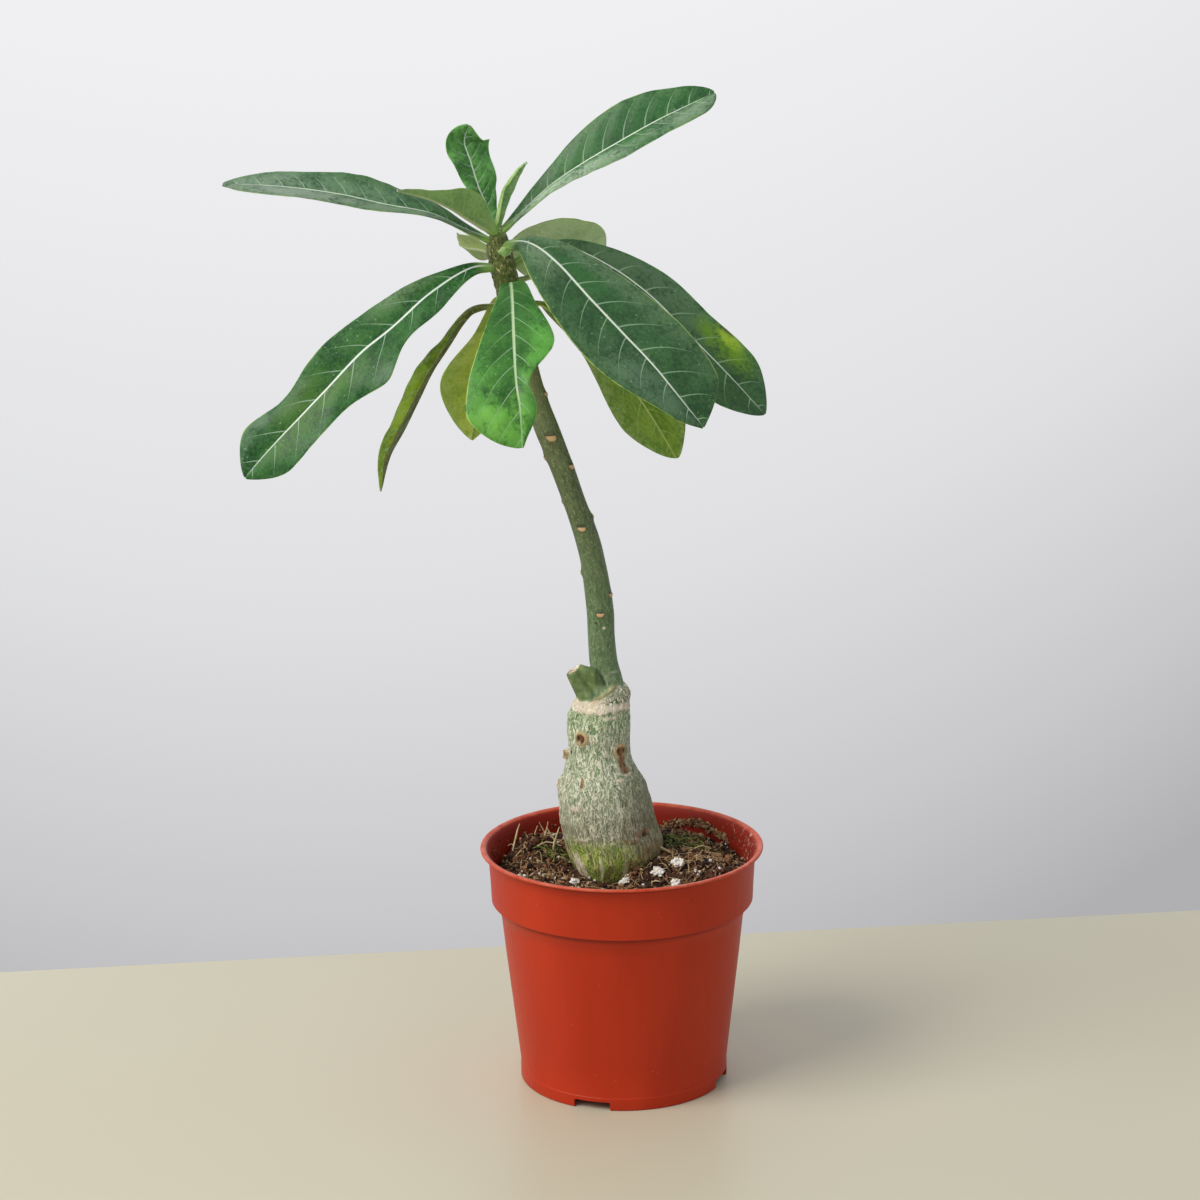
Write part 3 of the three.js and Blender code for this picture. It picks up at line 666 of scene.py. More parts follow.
def makePerlite(white):
    # the small grains, then the five larger ones that are nodes of their own
    grains = soil["grains"] + [(*freePlace(), dice.uniform(0.5, 1.3)) for _ in range(soil["perlite"])]
    places = [((x, y, soilSurface(x, y) + size * 0.45), anyTurn(), [size, size * dice.uniform(0.7, 1),
        size * 0.8], 0)
        for x, y, size in grains]
    base = crumbBase(21)
    setPiece(scatter("perliteBits", base, places), "perliteBits", [white], "perlite")
    bpy.data.objects.remove(base)
    for side in ("front", "right", "rim", "root", "left"):
        node = "perlite_grain_" + side
        low, high = (Vector(corner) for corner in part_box(node))
        grain = addPrimitive("ico_sphere", subdivisions=5, radius=0.5)
        for vertex in grain.data.vertices:
            spot = vertex.co * 1.0
            lump = 1 + 0.55 * noise.noise(spot * 2.9 + low * 900) + 0.28 * noise.noise(spot * 7 + low * 900)
            pit = max(0, 0.3 - noise.voronoi(spot * 5 - low * 700)[0][0]) + 0.12 * abs(noise.noise(spot * 15))
            vertex.co = spot * (lump - 0.7 * pit)
            vertex.co = Vector([vertex.co[k] * (high - low)[k] * 1.05 for k in range(3)]) + (low + high) / 2
        shadeSmooth(grain)
        setPiece(grain, "perliteGrain_" + side, [white], "perlite", node)


def makeSoil():
    peat = pottingSoil()
    makeGround(peat)
    base = crumbBase(3, fine=False)
    setPiece(scatter("soilCrumbs", base, lyingBits(*soil["crumbs"])), "soilCrumbs", [peat], "peat_soil")
    bpy.data.objects.remove(base)
    base = crumbBase(9)
    setPiece(scatter("soilLumps", base, lyingBits(*soil["lumps"])), "soilLumps", [peat], "peat_soil")
    setPiece(scatter("driedSoilOnWall", base, driedBits()), "driedSoilOnWall", [peat], "peat_soil")
    bpy.data.objects.remove(base)

    fibres = [lyingPath(*freePlace(), dice.uniform(3, 12), dice.uniform(0.07, 0.2), dice.uniform(0.2, 1.5))
        for _ in range(soil["fibres"])]
    fibres += [lyingPath(dice.gauss(30, 6), dice.gauss(2, 9), dice.uniform(3, 10), dice.uniform(0.1, 0.26),
        dice.uniform(0.4, 2)) for _ in range(soil["rightFibres"])]
    coir = strandMaterial("coirFibre", [(0.3, "#7d6041"), (0.5, "#b3956a"), (0.72, "#dccaa4")], 300)
    setPiece(strands("coirFibres", fibres), "coirFibres", [coir], "peat_soil")
    straw = strandMaterial("dryRoot", [(0.3, "#a78b5c"), (0.5, "#d3bf93"), (0.7, "#ece0c2")], 220)
    setPiece(strands("dryRoots", soil["roots"], 3), "dryRoots", [straw], "peat_soil")
    cushion = strandMaterial("cushionMoss", [(0.3, "#2c3116"), (0.46, "#515a26"), (0.6, "#7d843c"),
        (0.74, "#b3ae66")], 300)
    setPiece(strands("mossTufts", mossPaths()), "mossTufts", [cushion], "peat_soil")
    makePerlite(expandedPerlite())
    print("soil, roots, moss and perlite made")


makeSoil()


trunk = {
    "depth": 6, "around": 96, "rings": 300, "voxel": 0.5,
    "masks": ("cork", "rim", "core", "dark", "cracked", "algae", "crown", "stub", "ridged"),
    # height, place in x, radius
    "stations": [(32, -2, 1.5), (45, -2.5, 4), (58, -3, 7), (68, -3.5, 10), (77, -3.8, 12.8), (83, -3.2, 16),
        (88.5, -2.9, 18.5), (93.5, -3.4, 19), (98, -4.5, 18.8), (103.5, -5.8, 18.6), (109, -6.3, 18.1),
        (114, -7.1, 17.4), (118.5, -7.5, 16.2), (122.5, -8, 14.4), (126.5, -8.5, 12.8), (131.5, -8.6, 11.9),
        (138.5, -8.6, 12.2), (144, -8.6, 12.1), (148, -8, 11.2), (151.5, -6.8, 9.4), (154.5, -5.6, 7.4),
        (160, -5.1, 5.9), (167, -6.3, 5.4), (177, -7, 5.2), (186, -7.3, 5.2), (196, -8.4, 5),
        (205, -9.8, 4.8), (214.5, -12, 4.8), (224, -15, 4.6), (233, -18.1, 4.5), (246, -22.6, 4.7),
        (257.5, -26.8, 4.9), (266, -29.6, 4.4), (275, -32.2, 4.1), (285, -34.5, 4.2), (295, -36.9, 4.3),
        (305, -39.2, 4.5), (312, -40.8, 4.7), (318, -42, 4.8), (323, -43.1, 4.7), (327, -43.8, 4.3),
        (330.5, -43.7, 3.3), (333, -43.6, 2)],
    # x, y, z, radius along the pruned branch
    "stub": [(-6, 6, 142, 5), (-8.5, 5.6, 149, 6.8), (-11, 5, 153.5, 6.2), (-13.4, 4.6, 157, 5.3),
        (-15.4, 4.2, 159.8, 4.5), (-17.0, 3.9, 162.2, 3.9), (-17.8, 3.8, 163.4, 3.5)],
    # x, y, z, radius of the tissue that joins the branch to the stem
    "webs": [(-14.4, 3.2, 161.6, 3.3), (-12.4, 2.3, 161.9, 2.8), (-10.6, 1.8, 161.3, 2.7),
        (-9.3, 1.5, 159.8, 2.7), (-8.2, 1.6, 157.8, 3.1), (-8.0, 2.6, 155.8, 3.9)], "webSteps": 14,
    "webShape": (1, 0.8, 1.15),
    # height, angle, half width, half height, rim, sink: leaf scars and knots
    "knots": [(138.2, -122, 2.7, 2.5, 0.9, 0.9), (132.4, -44, 3.1, 2.6, 0.5, 0.5),
        (128.8, 180, 1.4, 1.8, 2.0, 0.2), (117, 178, 1.2, 1.6, 0.7, 0.1), (128, 70, 2.6, 2.3, 0.8, 0.7),
        (139, 120, 2.2, 2.0, 0.8, 0.6)],
    # height, angle, half width: leaf scars like small smiles, those behind are guessed
    "scars": [(255, -81, 1.9), (246.7, -166, 1.3), (243.4, -33, 1.5), (219.8, -94, 1.6), (201.6, 180, 1.2),
        (193.3, -26, 1.4), (186.2, -90, 1.5), (223.5, 2, 1.2), (262, 100, 1.6), (236, 75, 1.6),
        (229, 150, 1.5), (211, 60, 1.6), (176, 125, 1.5), (271, -20, 1.3), (283, 170, 1.5), (288, 20, 1.5),
        (294, -120, 1.3)],
    # height, angle, half width, half height, strength: marks that only colour the bark
    "brownMarks": [(128.2, -43, 2.5, 4.4, 0.9), (120.9, -119, 0.7, 2.4, 0.9), (101.2, -38, 1.5, 1.2, 0.9),
        (125, -41, 2.5, 1.6, 0.9), (98.4, -62, 5, 1.2, 0.5), (100.4, -44, 5.5, 1.5, 0.6),
        (128.8, 180, 1.8, 1.7, 0.8), (92, -35, 7, 5, 0.25), (87, -68, 3, 5, 0.4), (103, -140, 0.6, 1.4, 0.6)],
    "darkMarks": [(182.6, -112, 0.7, 0.6, 1), (131.4, -152, 0.6, 0.9, 1), (100, -43, 1.6, 1.1, 0.8),
        (133.2, -50, 1.2, 0.7, 0.6), (97.5, -62, 1.4, 0.7, 0.5)],
    # x, z of both ends of the tan ridge under the stub
    "seam": [(-10.2, 151.6), (-2.6, 157.4)],
    "paleMarks": [(84, -75, 1.6, 7, 0.5), (88, -104, 0.9, 6, 0.5), (111, -128, 3, 1.0, 0.9),
        (122, -59, 2.6, 0.6, 0.8), (146.2, -72, 3.6, 0.9, 0.9), (163, -60, 3, 0.5, 0.25),
        (180.7, -77, 0.6, 0.5, 1), (123.2, -40, 2.4, 0.7, 0.9), (85, -141, 5, 8, 0.95),
        (99, -121, 3, 0.9, 0.7), (137.6, -100, 2.4, 0.6, 0.5)],
}


def stemAt(heights):
    table = np.array(trunk["stations"])
    return np.interp(heights, table[:, 0], table[:, 1]), np.interp(heights, table[:, 0], table[:, 2])


def barkMaterial():
    # living bark: a thin grey cork skin split into upright wavy ridges over green, smooth on the stem
    material, add = newMaterial("desertRoseBark")
    grain = add("Attribute", attribute_name="grain").outputs["Vector"]   # unrolled: mm round, mm along
    spot = add("SeparateXYZ", grain)
    height = spot.outputs["Z"]
    masks = {name: add("Attribute", attribute_name=name).outputs["Fac"] for name in trunk["masks"]}

    wobble = add("TexNoise", grain, 0.35, 3)
    wander = add("MixRGB", 1, grain, wobble.outputs["Color"], blend_type="LINEAR_LIGHT")
    upright = add("Mapping", wander, Scale=(1, 1, 0.27))

    def squiggles(scale, width):
        # pale ridges that squiggle upwards 1.3 mm apart, a little coarser than life so that they show
        drawn = add("Mapping", wander, Scale=(scale, scale, 0.21 * scale))
        field = add("TexNoise", drawn, 1, 1)
        away = add("Math", field, 0.5, operation="SUBTRACT")
        away = add("Math", away, operation="ABSOLUTE")
        crest = add("MapRange", away, width, 0.4 * width, **soft)
        crack = add("MapRange", away, 2 * width, 3 * width, **soft)
        return crest, crack

    (coarse, crack), (fine, hair) = squiggles(0.78, 0.066), squiggles(1.3, 0.085)
    ridge = add("Math", coarse, add("Math", fine, 0.75, **product), operation="MAXIMUM")

    share = add("MapRange", height, 70, 340)
    jitter = add("TexNoise", grain, 0.12, 4)
    jitter = add("MapRange", jitter, 0, 1, -0.035, 0.035)
    share = add("Math", share, jitter)
    valley = add("ValToRGB", share, stops=[(0.03, "#6b5836"), (0.075, "#7d7a42"), (0.10, "#858460"),
        (0.15, "#97a384"), (0.21, "#8ca67c"), (0.28, "#759966"), (0.33, "#547049"), (0.42, "#4c663f"),
        (0.5, "#52683f"), (0.6, "#434f2e"), (0.75, "#637048"), (0.86, "#4f5c2c"), (0.97, "#63803c")])
    crest = add("ValToRGB", share, stops=[(0.03, "#a08a5c"), (0.075, "#cdc38e"), (0.11, "#d2d0b4"),
        (0.17, "#e2e3cb"), (0.24, "#ebedd6"), (0.29, "#d6e0bc"), (0.34, "#819a72"), (0.45, "#7a9268"),
        (0.55, "#76865c"), (0.7, "#7c8a5e"), (0.86, "#737a40"), (0.97, "#86a054")])
    streak = add("TexNoise", add("Mapping", grain, Scale=(1, 1, 0.4)), 0.9, 8, 0.72)
    streak = add("MapRange", streak, 0.38, 0.66)
    ridges = add("Math", ridge, masks["ridged"], **product)
    smooth = add("Mix", masks["ridged"], streak, ridges, data_type="FLOAT")
    layers = []  # cover and colour, from the lowest
    # dark green in the cracks between the ridges: partly the green under the cork, partly painted shade
    fissureShade = add("Math", crack, add("Math", hair, 0.7, **product), operation="MAXIMUM")
    fissureShade = add("Math", fissureShade, ridge, operation="SUBTRACT", use_clamp=True)
    fissureShade = add("Math", fissureShade, masks["ridged"], **product)
    layers.append((add("Math", fissureShade, 0.55, **product), "#435236"))
    # fine pale lenticels on the stem, 0.3 mm
    dots = add("TexVoronoi", add("Mapping", grain, Scale=(1, 1, 0.7)), 1)
    dots = add("MapRange", dots.outputs["Distance"], 0.28, 0.16, 0, 0.55)
    layers.append((add("Math", dots, add("MapRange", masks["ridged"], 0, 1, 1, 0.4), **product), "#aeb48a"))
    # the side away from the light is painted darker olive: partly the bark's own colour, partly painted shade
    away = add("MapRange", spot.outputs["X"], 3, 15, 0, 0.5)
    low = add("MapRange", height, 140, 120)
    layers.append((add("Math", away, low, **product), "#67643f"))
    # algae and moss film at the soil line
    film = add("TexNoise", upright, 0.5, 5, 0.65)
    film = add("MapRange", film, 0.38, 0.56, 0.15)
    filmTint = add("ValToRGB", ridge, stops=[(0, "#6f9a26"), (1, "#c2d06a")])
    layers.append((add("Math", film, masks["algae"], **product), filmTint))
    # the smooth green stub
    stubTint = add("ValToRGB", wobble, stops=[(0.3, "#50673a"), (0.55, "#687e46"), (0.75, "#88985e")])
    layers.append((masks["stub"], stubTint))
    # corky callus, with upright cracks that show the green under it
    corkTint = add("ValToRGB", add("TexNoise", grain, 0.9, 6, 0.7), stops=[(0.28, "#cdb48c"),
        (0.45, "#f2e6ca"), (0.65, "#fcf6e8")])
    layers.append((masks["cork"], corkTint))
    layers.append((add("Math", ridge, masks["cracked"], **product), "#3f5f3b"))
    # the crown: dark green between old leaf bases, with cream and yellow flakes 1 mm across
    mottle = add("TexNoise", add("Mapping", wander, Scale=(1, 1, 0.5)), 0.8, 6, 0.75)
    crownTint = add("ValToRGB", mottle, stops=[(0.34, "#1f260f"), (0.43, "#40501f"), (0.52, "#62732f"),
        (0.62, "#85864a"), (0.76, "#a08a5c")])
    layers.append((add("Math", masks["crown"], 0.85, **product), crownTint))
    flakes = add("TexNoise", add("Mapping", wander, Scale=(1, 1, 0.45)), 1.1, 3, 0.6, Distortion=1)
    flake = add("MapRange", flakes, 0.56, 0.61)
    layers.append((add("Math", add("Math", flake, 0.85, **product), masks["crown"], **product), "#d9cc94"))
    rimTint = add("MixRGB", wobble, "#c99a5e", "#f0d6a6")
    layers.append((masks["rim"], rimTint))
    coreTint = add("ValToRGB", film, stops=[(0.2, "#4a2e1a"), (0.55, "#865839"), (1, "#ab8054")])
    layers.append((masks["core"], coreTint))
    layers.append((masks["dark"], "#1d2113"))

    skin = add("MixRGB", smooth, valley, crest)
    for cover, colour in layers:
        skin = add("MixRGB", cover, skin, colour)

    pores = add("TexNoise", grain, 2.2, 4, 0.6)
    relief = add("Math", ridges, 1.4, pores, operation="MULTIPLY_ADD")
    relief = add("Math", add("Math", masks["crown"], flake, **product), 0.8, relief, operation="MULTIPLY_ADD")
    bump = add("Bump", 0.9, 0.0004, Height=relief)
    # dull bark below, a waxy young stem above
    rough = add("MapRange", height, 148, 165, 0.68, 0.44)
    return setSurface(material, {"Base Color": skin, "Normal": bump, "Roughness": rough, "IOR": 1.42})


def makeTrunk():
    def trunkPlace(turn, ring):
        z, x, radius = between(trunk["stations"], ring / (trunk["rings"] - 1))
        angle = 2 * math.pi * turn
        flare = min(max((110 - z) / 30, 0), 1) * 0.06
        radius *= 1 + flare * math.sin(3 * angle + 0.7) + 0.015 * math.sin(5 * angle + z / 17)
        return x + radius * math.cos(angle), trunk["depth"] + radius * math.sin(angle), z

    def stubPlace(turn, ring):
        share = ring / 24
        x, y, z, radius = between(trunk["stub"], share)
        ahead = Vector(between(trunk["stub"], min(share + 0.01, 1))[:3])
        along = (ahead - Vector(between(trunk["stub"], max(share - 0.01, 0))[:3])).normalized()
        side = Vector((0, 1, 0)).cross(along).normalized()
        angle = 2 * math.pi * turn
        ragged = 1 + 0.07 * math.sin(3 * angle + 1) + 0.05 * math.sin(7 * angle)
        outward = side * math.cos(angle) + along.cross(side) * math.sin(angle)
        return Vector((x, y, z)) + radius * ragged * outward

    body = rolledGrid(trunk["around"], trunk["rings"], trunkPlace)
    stub = rolledGrid(40, 25, stubPlace)
    webRows = [between(trunk["webs"], i / trunk["webSteps"]) for i in range(trunk["webSteps"] + 1)]
    webs = []
    for x, y, z, radius in webRows:
        middle = (x * mm, y * mm, z * mm)
        web = addPrimitive("uv_sphere", segments=32, ring_count=20, radius=radius * mm, location=middle)
        web.scale = trunk["webShape"]
        applyPlace(web)
        webs.append(web)
    body = joinAll([body, stub] + webs)
    addModifier(body, "REMESH", mode="VOXEL", voxel_size=trunk["voxel"] * mm, use_smooth_shade=True)
    addModifier(body, "SMOOTH", factor=0.5, iterations=2)
    applyModifiers(body)
    print("trunk skin joined:", len(body.data.polygons), "faces")

    count = len(body.data.vertices)
    place = np.empty(count * 3)
    normal = np.empty(count * 3)
    body.data.vertices.foreach_get("co", place)
    body.data.vertices.foreach_get("normal", normal)
    place, normal = place.reshape(-1, 3) / mm, normal.reshape(-1, 3)
    middle, radius = stemAt(place[:, 2])
    dx, dy, z = place[:, 0] - middle, place[:, 1] - trunk["depth"], place[:, 2]
    angle = np.arctan2(dy, dx)
    # bark coordinates: millimetres from the stem's middle, and the height
    grain = np.stack([dx, dy, z], 1)

    def noiseAt(scaleRound, scaleAlong, offset):
        spots = grain * (1 / scaleRound, 1 / scaleRound, 1 / scaleAlong) + offset
        return np.array([noise.noise(Vector(spot)) for spot in spots])

    stubAxis = np.array(trunk["stub"])
    distance = np.full(count, 99.0)
    alongStub = np.zeros(count)
    for i, (first, second) in enumerate(zip(stubAxis[:-1], stubAxis[1:])):
        line = second[:3] - first[:3]
        share = np.clip(((place - first[:3]) @ line) / (line @ line), 0, 1)
        gap = np.linalg.norm(place - first[:3] - share[:, None] * line, axis=1)
        gap = gap - (first[3] + share * (second[3] - first[3]))
        nearer = gap < distance
        distance = np.where(nearer, gap, distance)
        alongStub = np.where(nearer, (i + share) / (len(stubAxis) - 1), alongStub)
    offTrunk = np.hypot(dx, dy) - radius
    webGaps = [np.linalg.norm((place - web[:3]) / trunk["webShape"], axis=1) - web[3] for web in webRows]
    nearWeb = np.min(webGaps, axis=0)
    nearStub = smoothStep(-np.minimum(distance, nearWeb), -1.2, 0.2)
    stubMask = smoothStep(offTrunk, 0.2, 1.6) * nearStub * smoothStep(z, 149, 151.5)
    cutEnd = smoothStep(alongStub, 0.88, 0.99) * smoothStep(-distance, -1.2, 0) * (z > 158)

    push = np.zeros(count)
    ridged = smoothStep(z, 80, 90) * (1 - smoothStep(z, 149, 157)) * (1 - stubMask)
    coarse, fine = noiseAt(2.2, 8.5, 3.0), noiseAt(1.2, 4.6, 9.0)
    push += ridged * (0.55 * coarse + 0.3 * fine)
    push += 0.12 * noiseAt(3.5, 9, 5.0) * smoothStep(z, 155, 165)
    # a knobbly collar of callus over the trunk's shoulder
    wiggle = noiseAt(2.6, 2.6, 1.5)
    collarLow = 148.0 + 0.9 * wiggle
    collarHigh = 152.4 + 5.0 * smoothStep(angle, -2.0, -0.6) * smoothStep(-angle, -2.6, -1.6) + 1.0 * wiggle
    aboveCollar = smoothStep(z, collarHigh - 0.6, collarHigh + 0.6)
    cork = smoothStep(z, collarLow - 0.5, collarLow + 0.5) * (1 - aboveCollar) * (1 - stubMask)
    cracks = smoothStep(np.abs(fine), 0.0, 0.16)
    high = smoothStep(z, 152, 154)
    cork = cork * (1 - high + high * cracks * 0.8)
    cracked = cork * smoothStep(z, 150.2, 151.6) * smoothStep(angle, -1.75, -1.35)
    push += 0.6 * cork
    push += 1.6 * np.exp(-((z - 154.2) / 2.4) ** 2 - ((angle + 0.15) / 0.6) ** 2)
    # layered leaf scars round the crown, 2.9 mm apart
    crown = smoothStep(z, 298, 309) * (1 - smoothStep(z, 329, 333))
    steps = (z + 1.6 * np.sin(2 * angle + 0.4) + 1.3 * noiseAt(3, 3, 8.0)) / 2.9
    push += crown * (0.25 * (steps % 1) - 0.1 + 0.5 * noiseAt(1.1, 1.5, 6.0))

    rim, core, dark = np.zeros(count), np.zeros(count), np.zeros(count)

    def markShare(height, degrees, width, tall):
        turn = np.radians(degrees)
        gap = (angle - turn + np.pi) % (2 * np.pi) - np.pi
        return np.hypot(gap * radius / width, (z - height) / tall)

    for height, degrees, width, tall, lift, sink in trunk["knots"]:
        away = markShare(height, degrees, width, tall)
        away = away * (1 + 0.12 * wiggle)
        ring = np.exp(-((away - 0.85) / 0.28) ** 2)
        push += lift * ring + (lift * 0.7 - sink) * np.exp(-(away / 0.55) ** 2)
        rim = np.maximum(rim, 0.9 * np.exp(-((away - 0.9) / 0.3) ** 2))
        core = np.maximum(core, 1 - smoothStep(away, 0.45, 0.85))
        dark = np.maximum(dark, np.exp(-((away - 0.5) / 0.2) ** 2) * smoothStep(fine, 0, 0.3))
    for height, degrees, width in trunk["scars"]:
        away = markShare(height, degrees, width, 0.95 * width)
        level = (z - height) / (0.95 * width)
        inside = (1 - smoothStep(away, 0.8, 1.1)) * (np.abs(z - height) < 4)
        smile = inside * smoothStep(-level, -0.35, -0.15)
        push += 0.45 * np.exp(-(away / 1.6) ** 2) + 0.3 * smile
        rim = np.maximum(rim, smile)
        dark = np.maximum(dark, 0.85 * inside * (1 - smile) * (level < 0.65))
        dark = np.maximum(dark, 0.5 * np.exp(-((away - 1.1) / 0.16) ** 2) * (np.abs(z - height) < 4))
    for *mark, strength in trunk["brownMarks"]:
        core = np.maximum(core, strength * (1 - smoothStep(markShare(*mark) + 0.25 * wiggle, 0.6, 1.15)))
    for *mark, strength in trunk["paleMarks"]:
        pale = 1 - smoothStep(markShare(*mark) + 0.4 * wiggle, 0.5, 1.15)
        cork = np.maximum(cork, strength * pale)
        push += 0.25 * pale
    for *mark, strength in trunk["darkMarks"]:
        dark = np.maximum(dark, strength * (1 - smoothStep(markShare(*mark) + 0.3 * wiggle, 0.6, 1.1)))
    # the tan ridge under the stub, and painted shade in the cleft between stub and stem
    (x1, z1), (x2, z2) = trunk["seam"]
    seamLength = (x2 - x1) ** 2 + (z2 - z1) ** 2
    seamShare = np.clip(((place[:, 0] - x1) * (x2 - x1) + (z - z1) * (z2 - z1)) / seamLength, 0, 1)
    seam = np.hypot(place[:, 0] - x1 - seamShare * (x2 - x1), z - z1 - seamShare * (z2 - z1))
    seam = np.exp(-((seam + 0.5 * wiggle) / 0.7) ** 2) * (dy < 0)
    push += 0.8 * seam
    rim = np.maximum(rim, 0.6 * seam * (1 - 0.5 * smoothStep(np.abs(wiggle), 0.1, 0.4)))
    cleftShade = np.exp(-((nearWeb - 0.25) / 0.32) ** 2) * smoothStep(z, 157.5, 158.5)
    cleftShade = cleftShade * (dy < -2) * (place[:, 0] > -9.5)
    dark = np.maximum(dark, 0.9 * cleftShade)
    push -= 0.4 * cleftShade
    # the dried cut: ragged, sunk in the middle
    cork = np.maximum(cork, cutEnd)
    push += cutEnd * (0.9 * fine + 0.35)
    core = np.maximum(core, 0.75 * cutEnd * smoothStep(coarse + fine, -0.05, 0.25))
    frontLeft = smoothStep(np.cos(angle + np.radians(108)), 0.5, 0.93)
    algae = (1 - smoothStep(z, 95, 101)) * smoothStep(z, 80, 84) * frontLeft
    algae = np.maximum(algae, 0.45 * (1 - smoothStep(z, 86, 92)))

    place += normal * push[:, None]
    body.data.vertices.foreach_set("co", (place * mm).ravel())
    body.data.attributes.new("grain", "FLOAT_VECTOR", "POINT").data.foreach_set("vector", grain.ravel())
    masks = (cork, rim, core, dark, cracked, algae, crown, stubMask, ridged)
    for name, values in zip(trunk["masks"], masks):
        setValues(body, name, np.clip(values, 0, 1))
    body.data.update()
    shadeSmooth(body)
    setPiece(body, "trunkAndStem", [barkMaterial()], "bark", "trunk_and_stem")
    print("trunk, stem and stub made")


makeTrunk()


leafBuild = {
    "rows": 76, "columns": 22, "solid": 3.0, "sink": 0.9, "petiole": 2.2, "blade": 0.62, "edge": 0.38,
    "rib": 0.9,
    # where a midrib may start on the stem, and the steps that look for it, in millimetres
    "stemTop": 332.9, "aboveStem": 333.3, "seatStep": 0.05,
    # millimetres and side veins that one unit of their maps stands for
    "mapLength": 100, "mapVeins": 16,
}
topGreen = {
    "dark": "#23492a", "light": "#3d6c38", "vein": "#9dbf9d", "rib": "#dae8d8", "margin": "#8aa552",
    "frost": "#65835f", "streaks": 0.0, "rough": 0.4, "gloss": 0.42, "speckle": 0.5,
}
underGreen = {
    "dark": "#7f9262", "light": "#9dad7c", "vein": "#b0bd90", "rib": "#bcca9a", "margin": "#9aa663",
    "frost": "#a4b08f", "streaks": 0.8, "rough": 0.55, "gloss": 0.3, "speckle": 0.5,
}
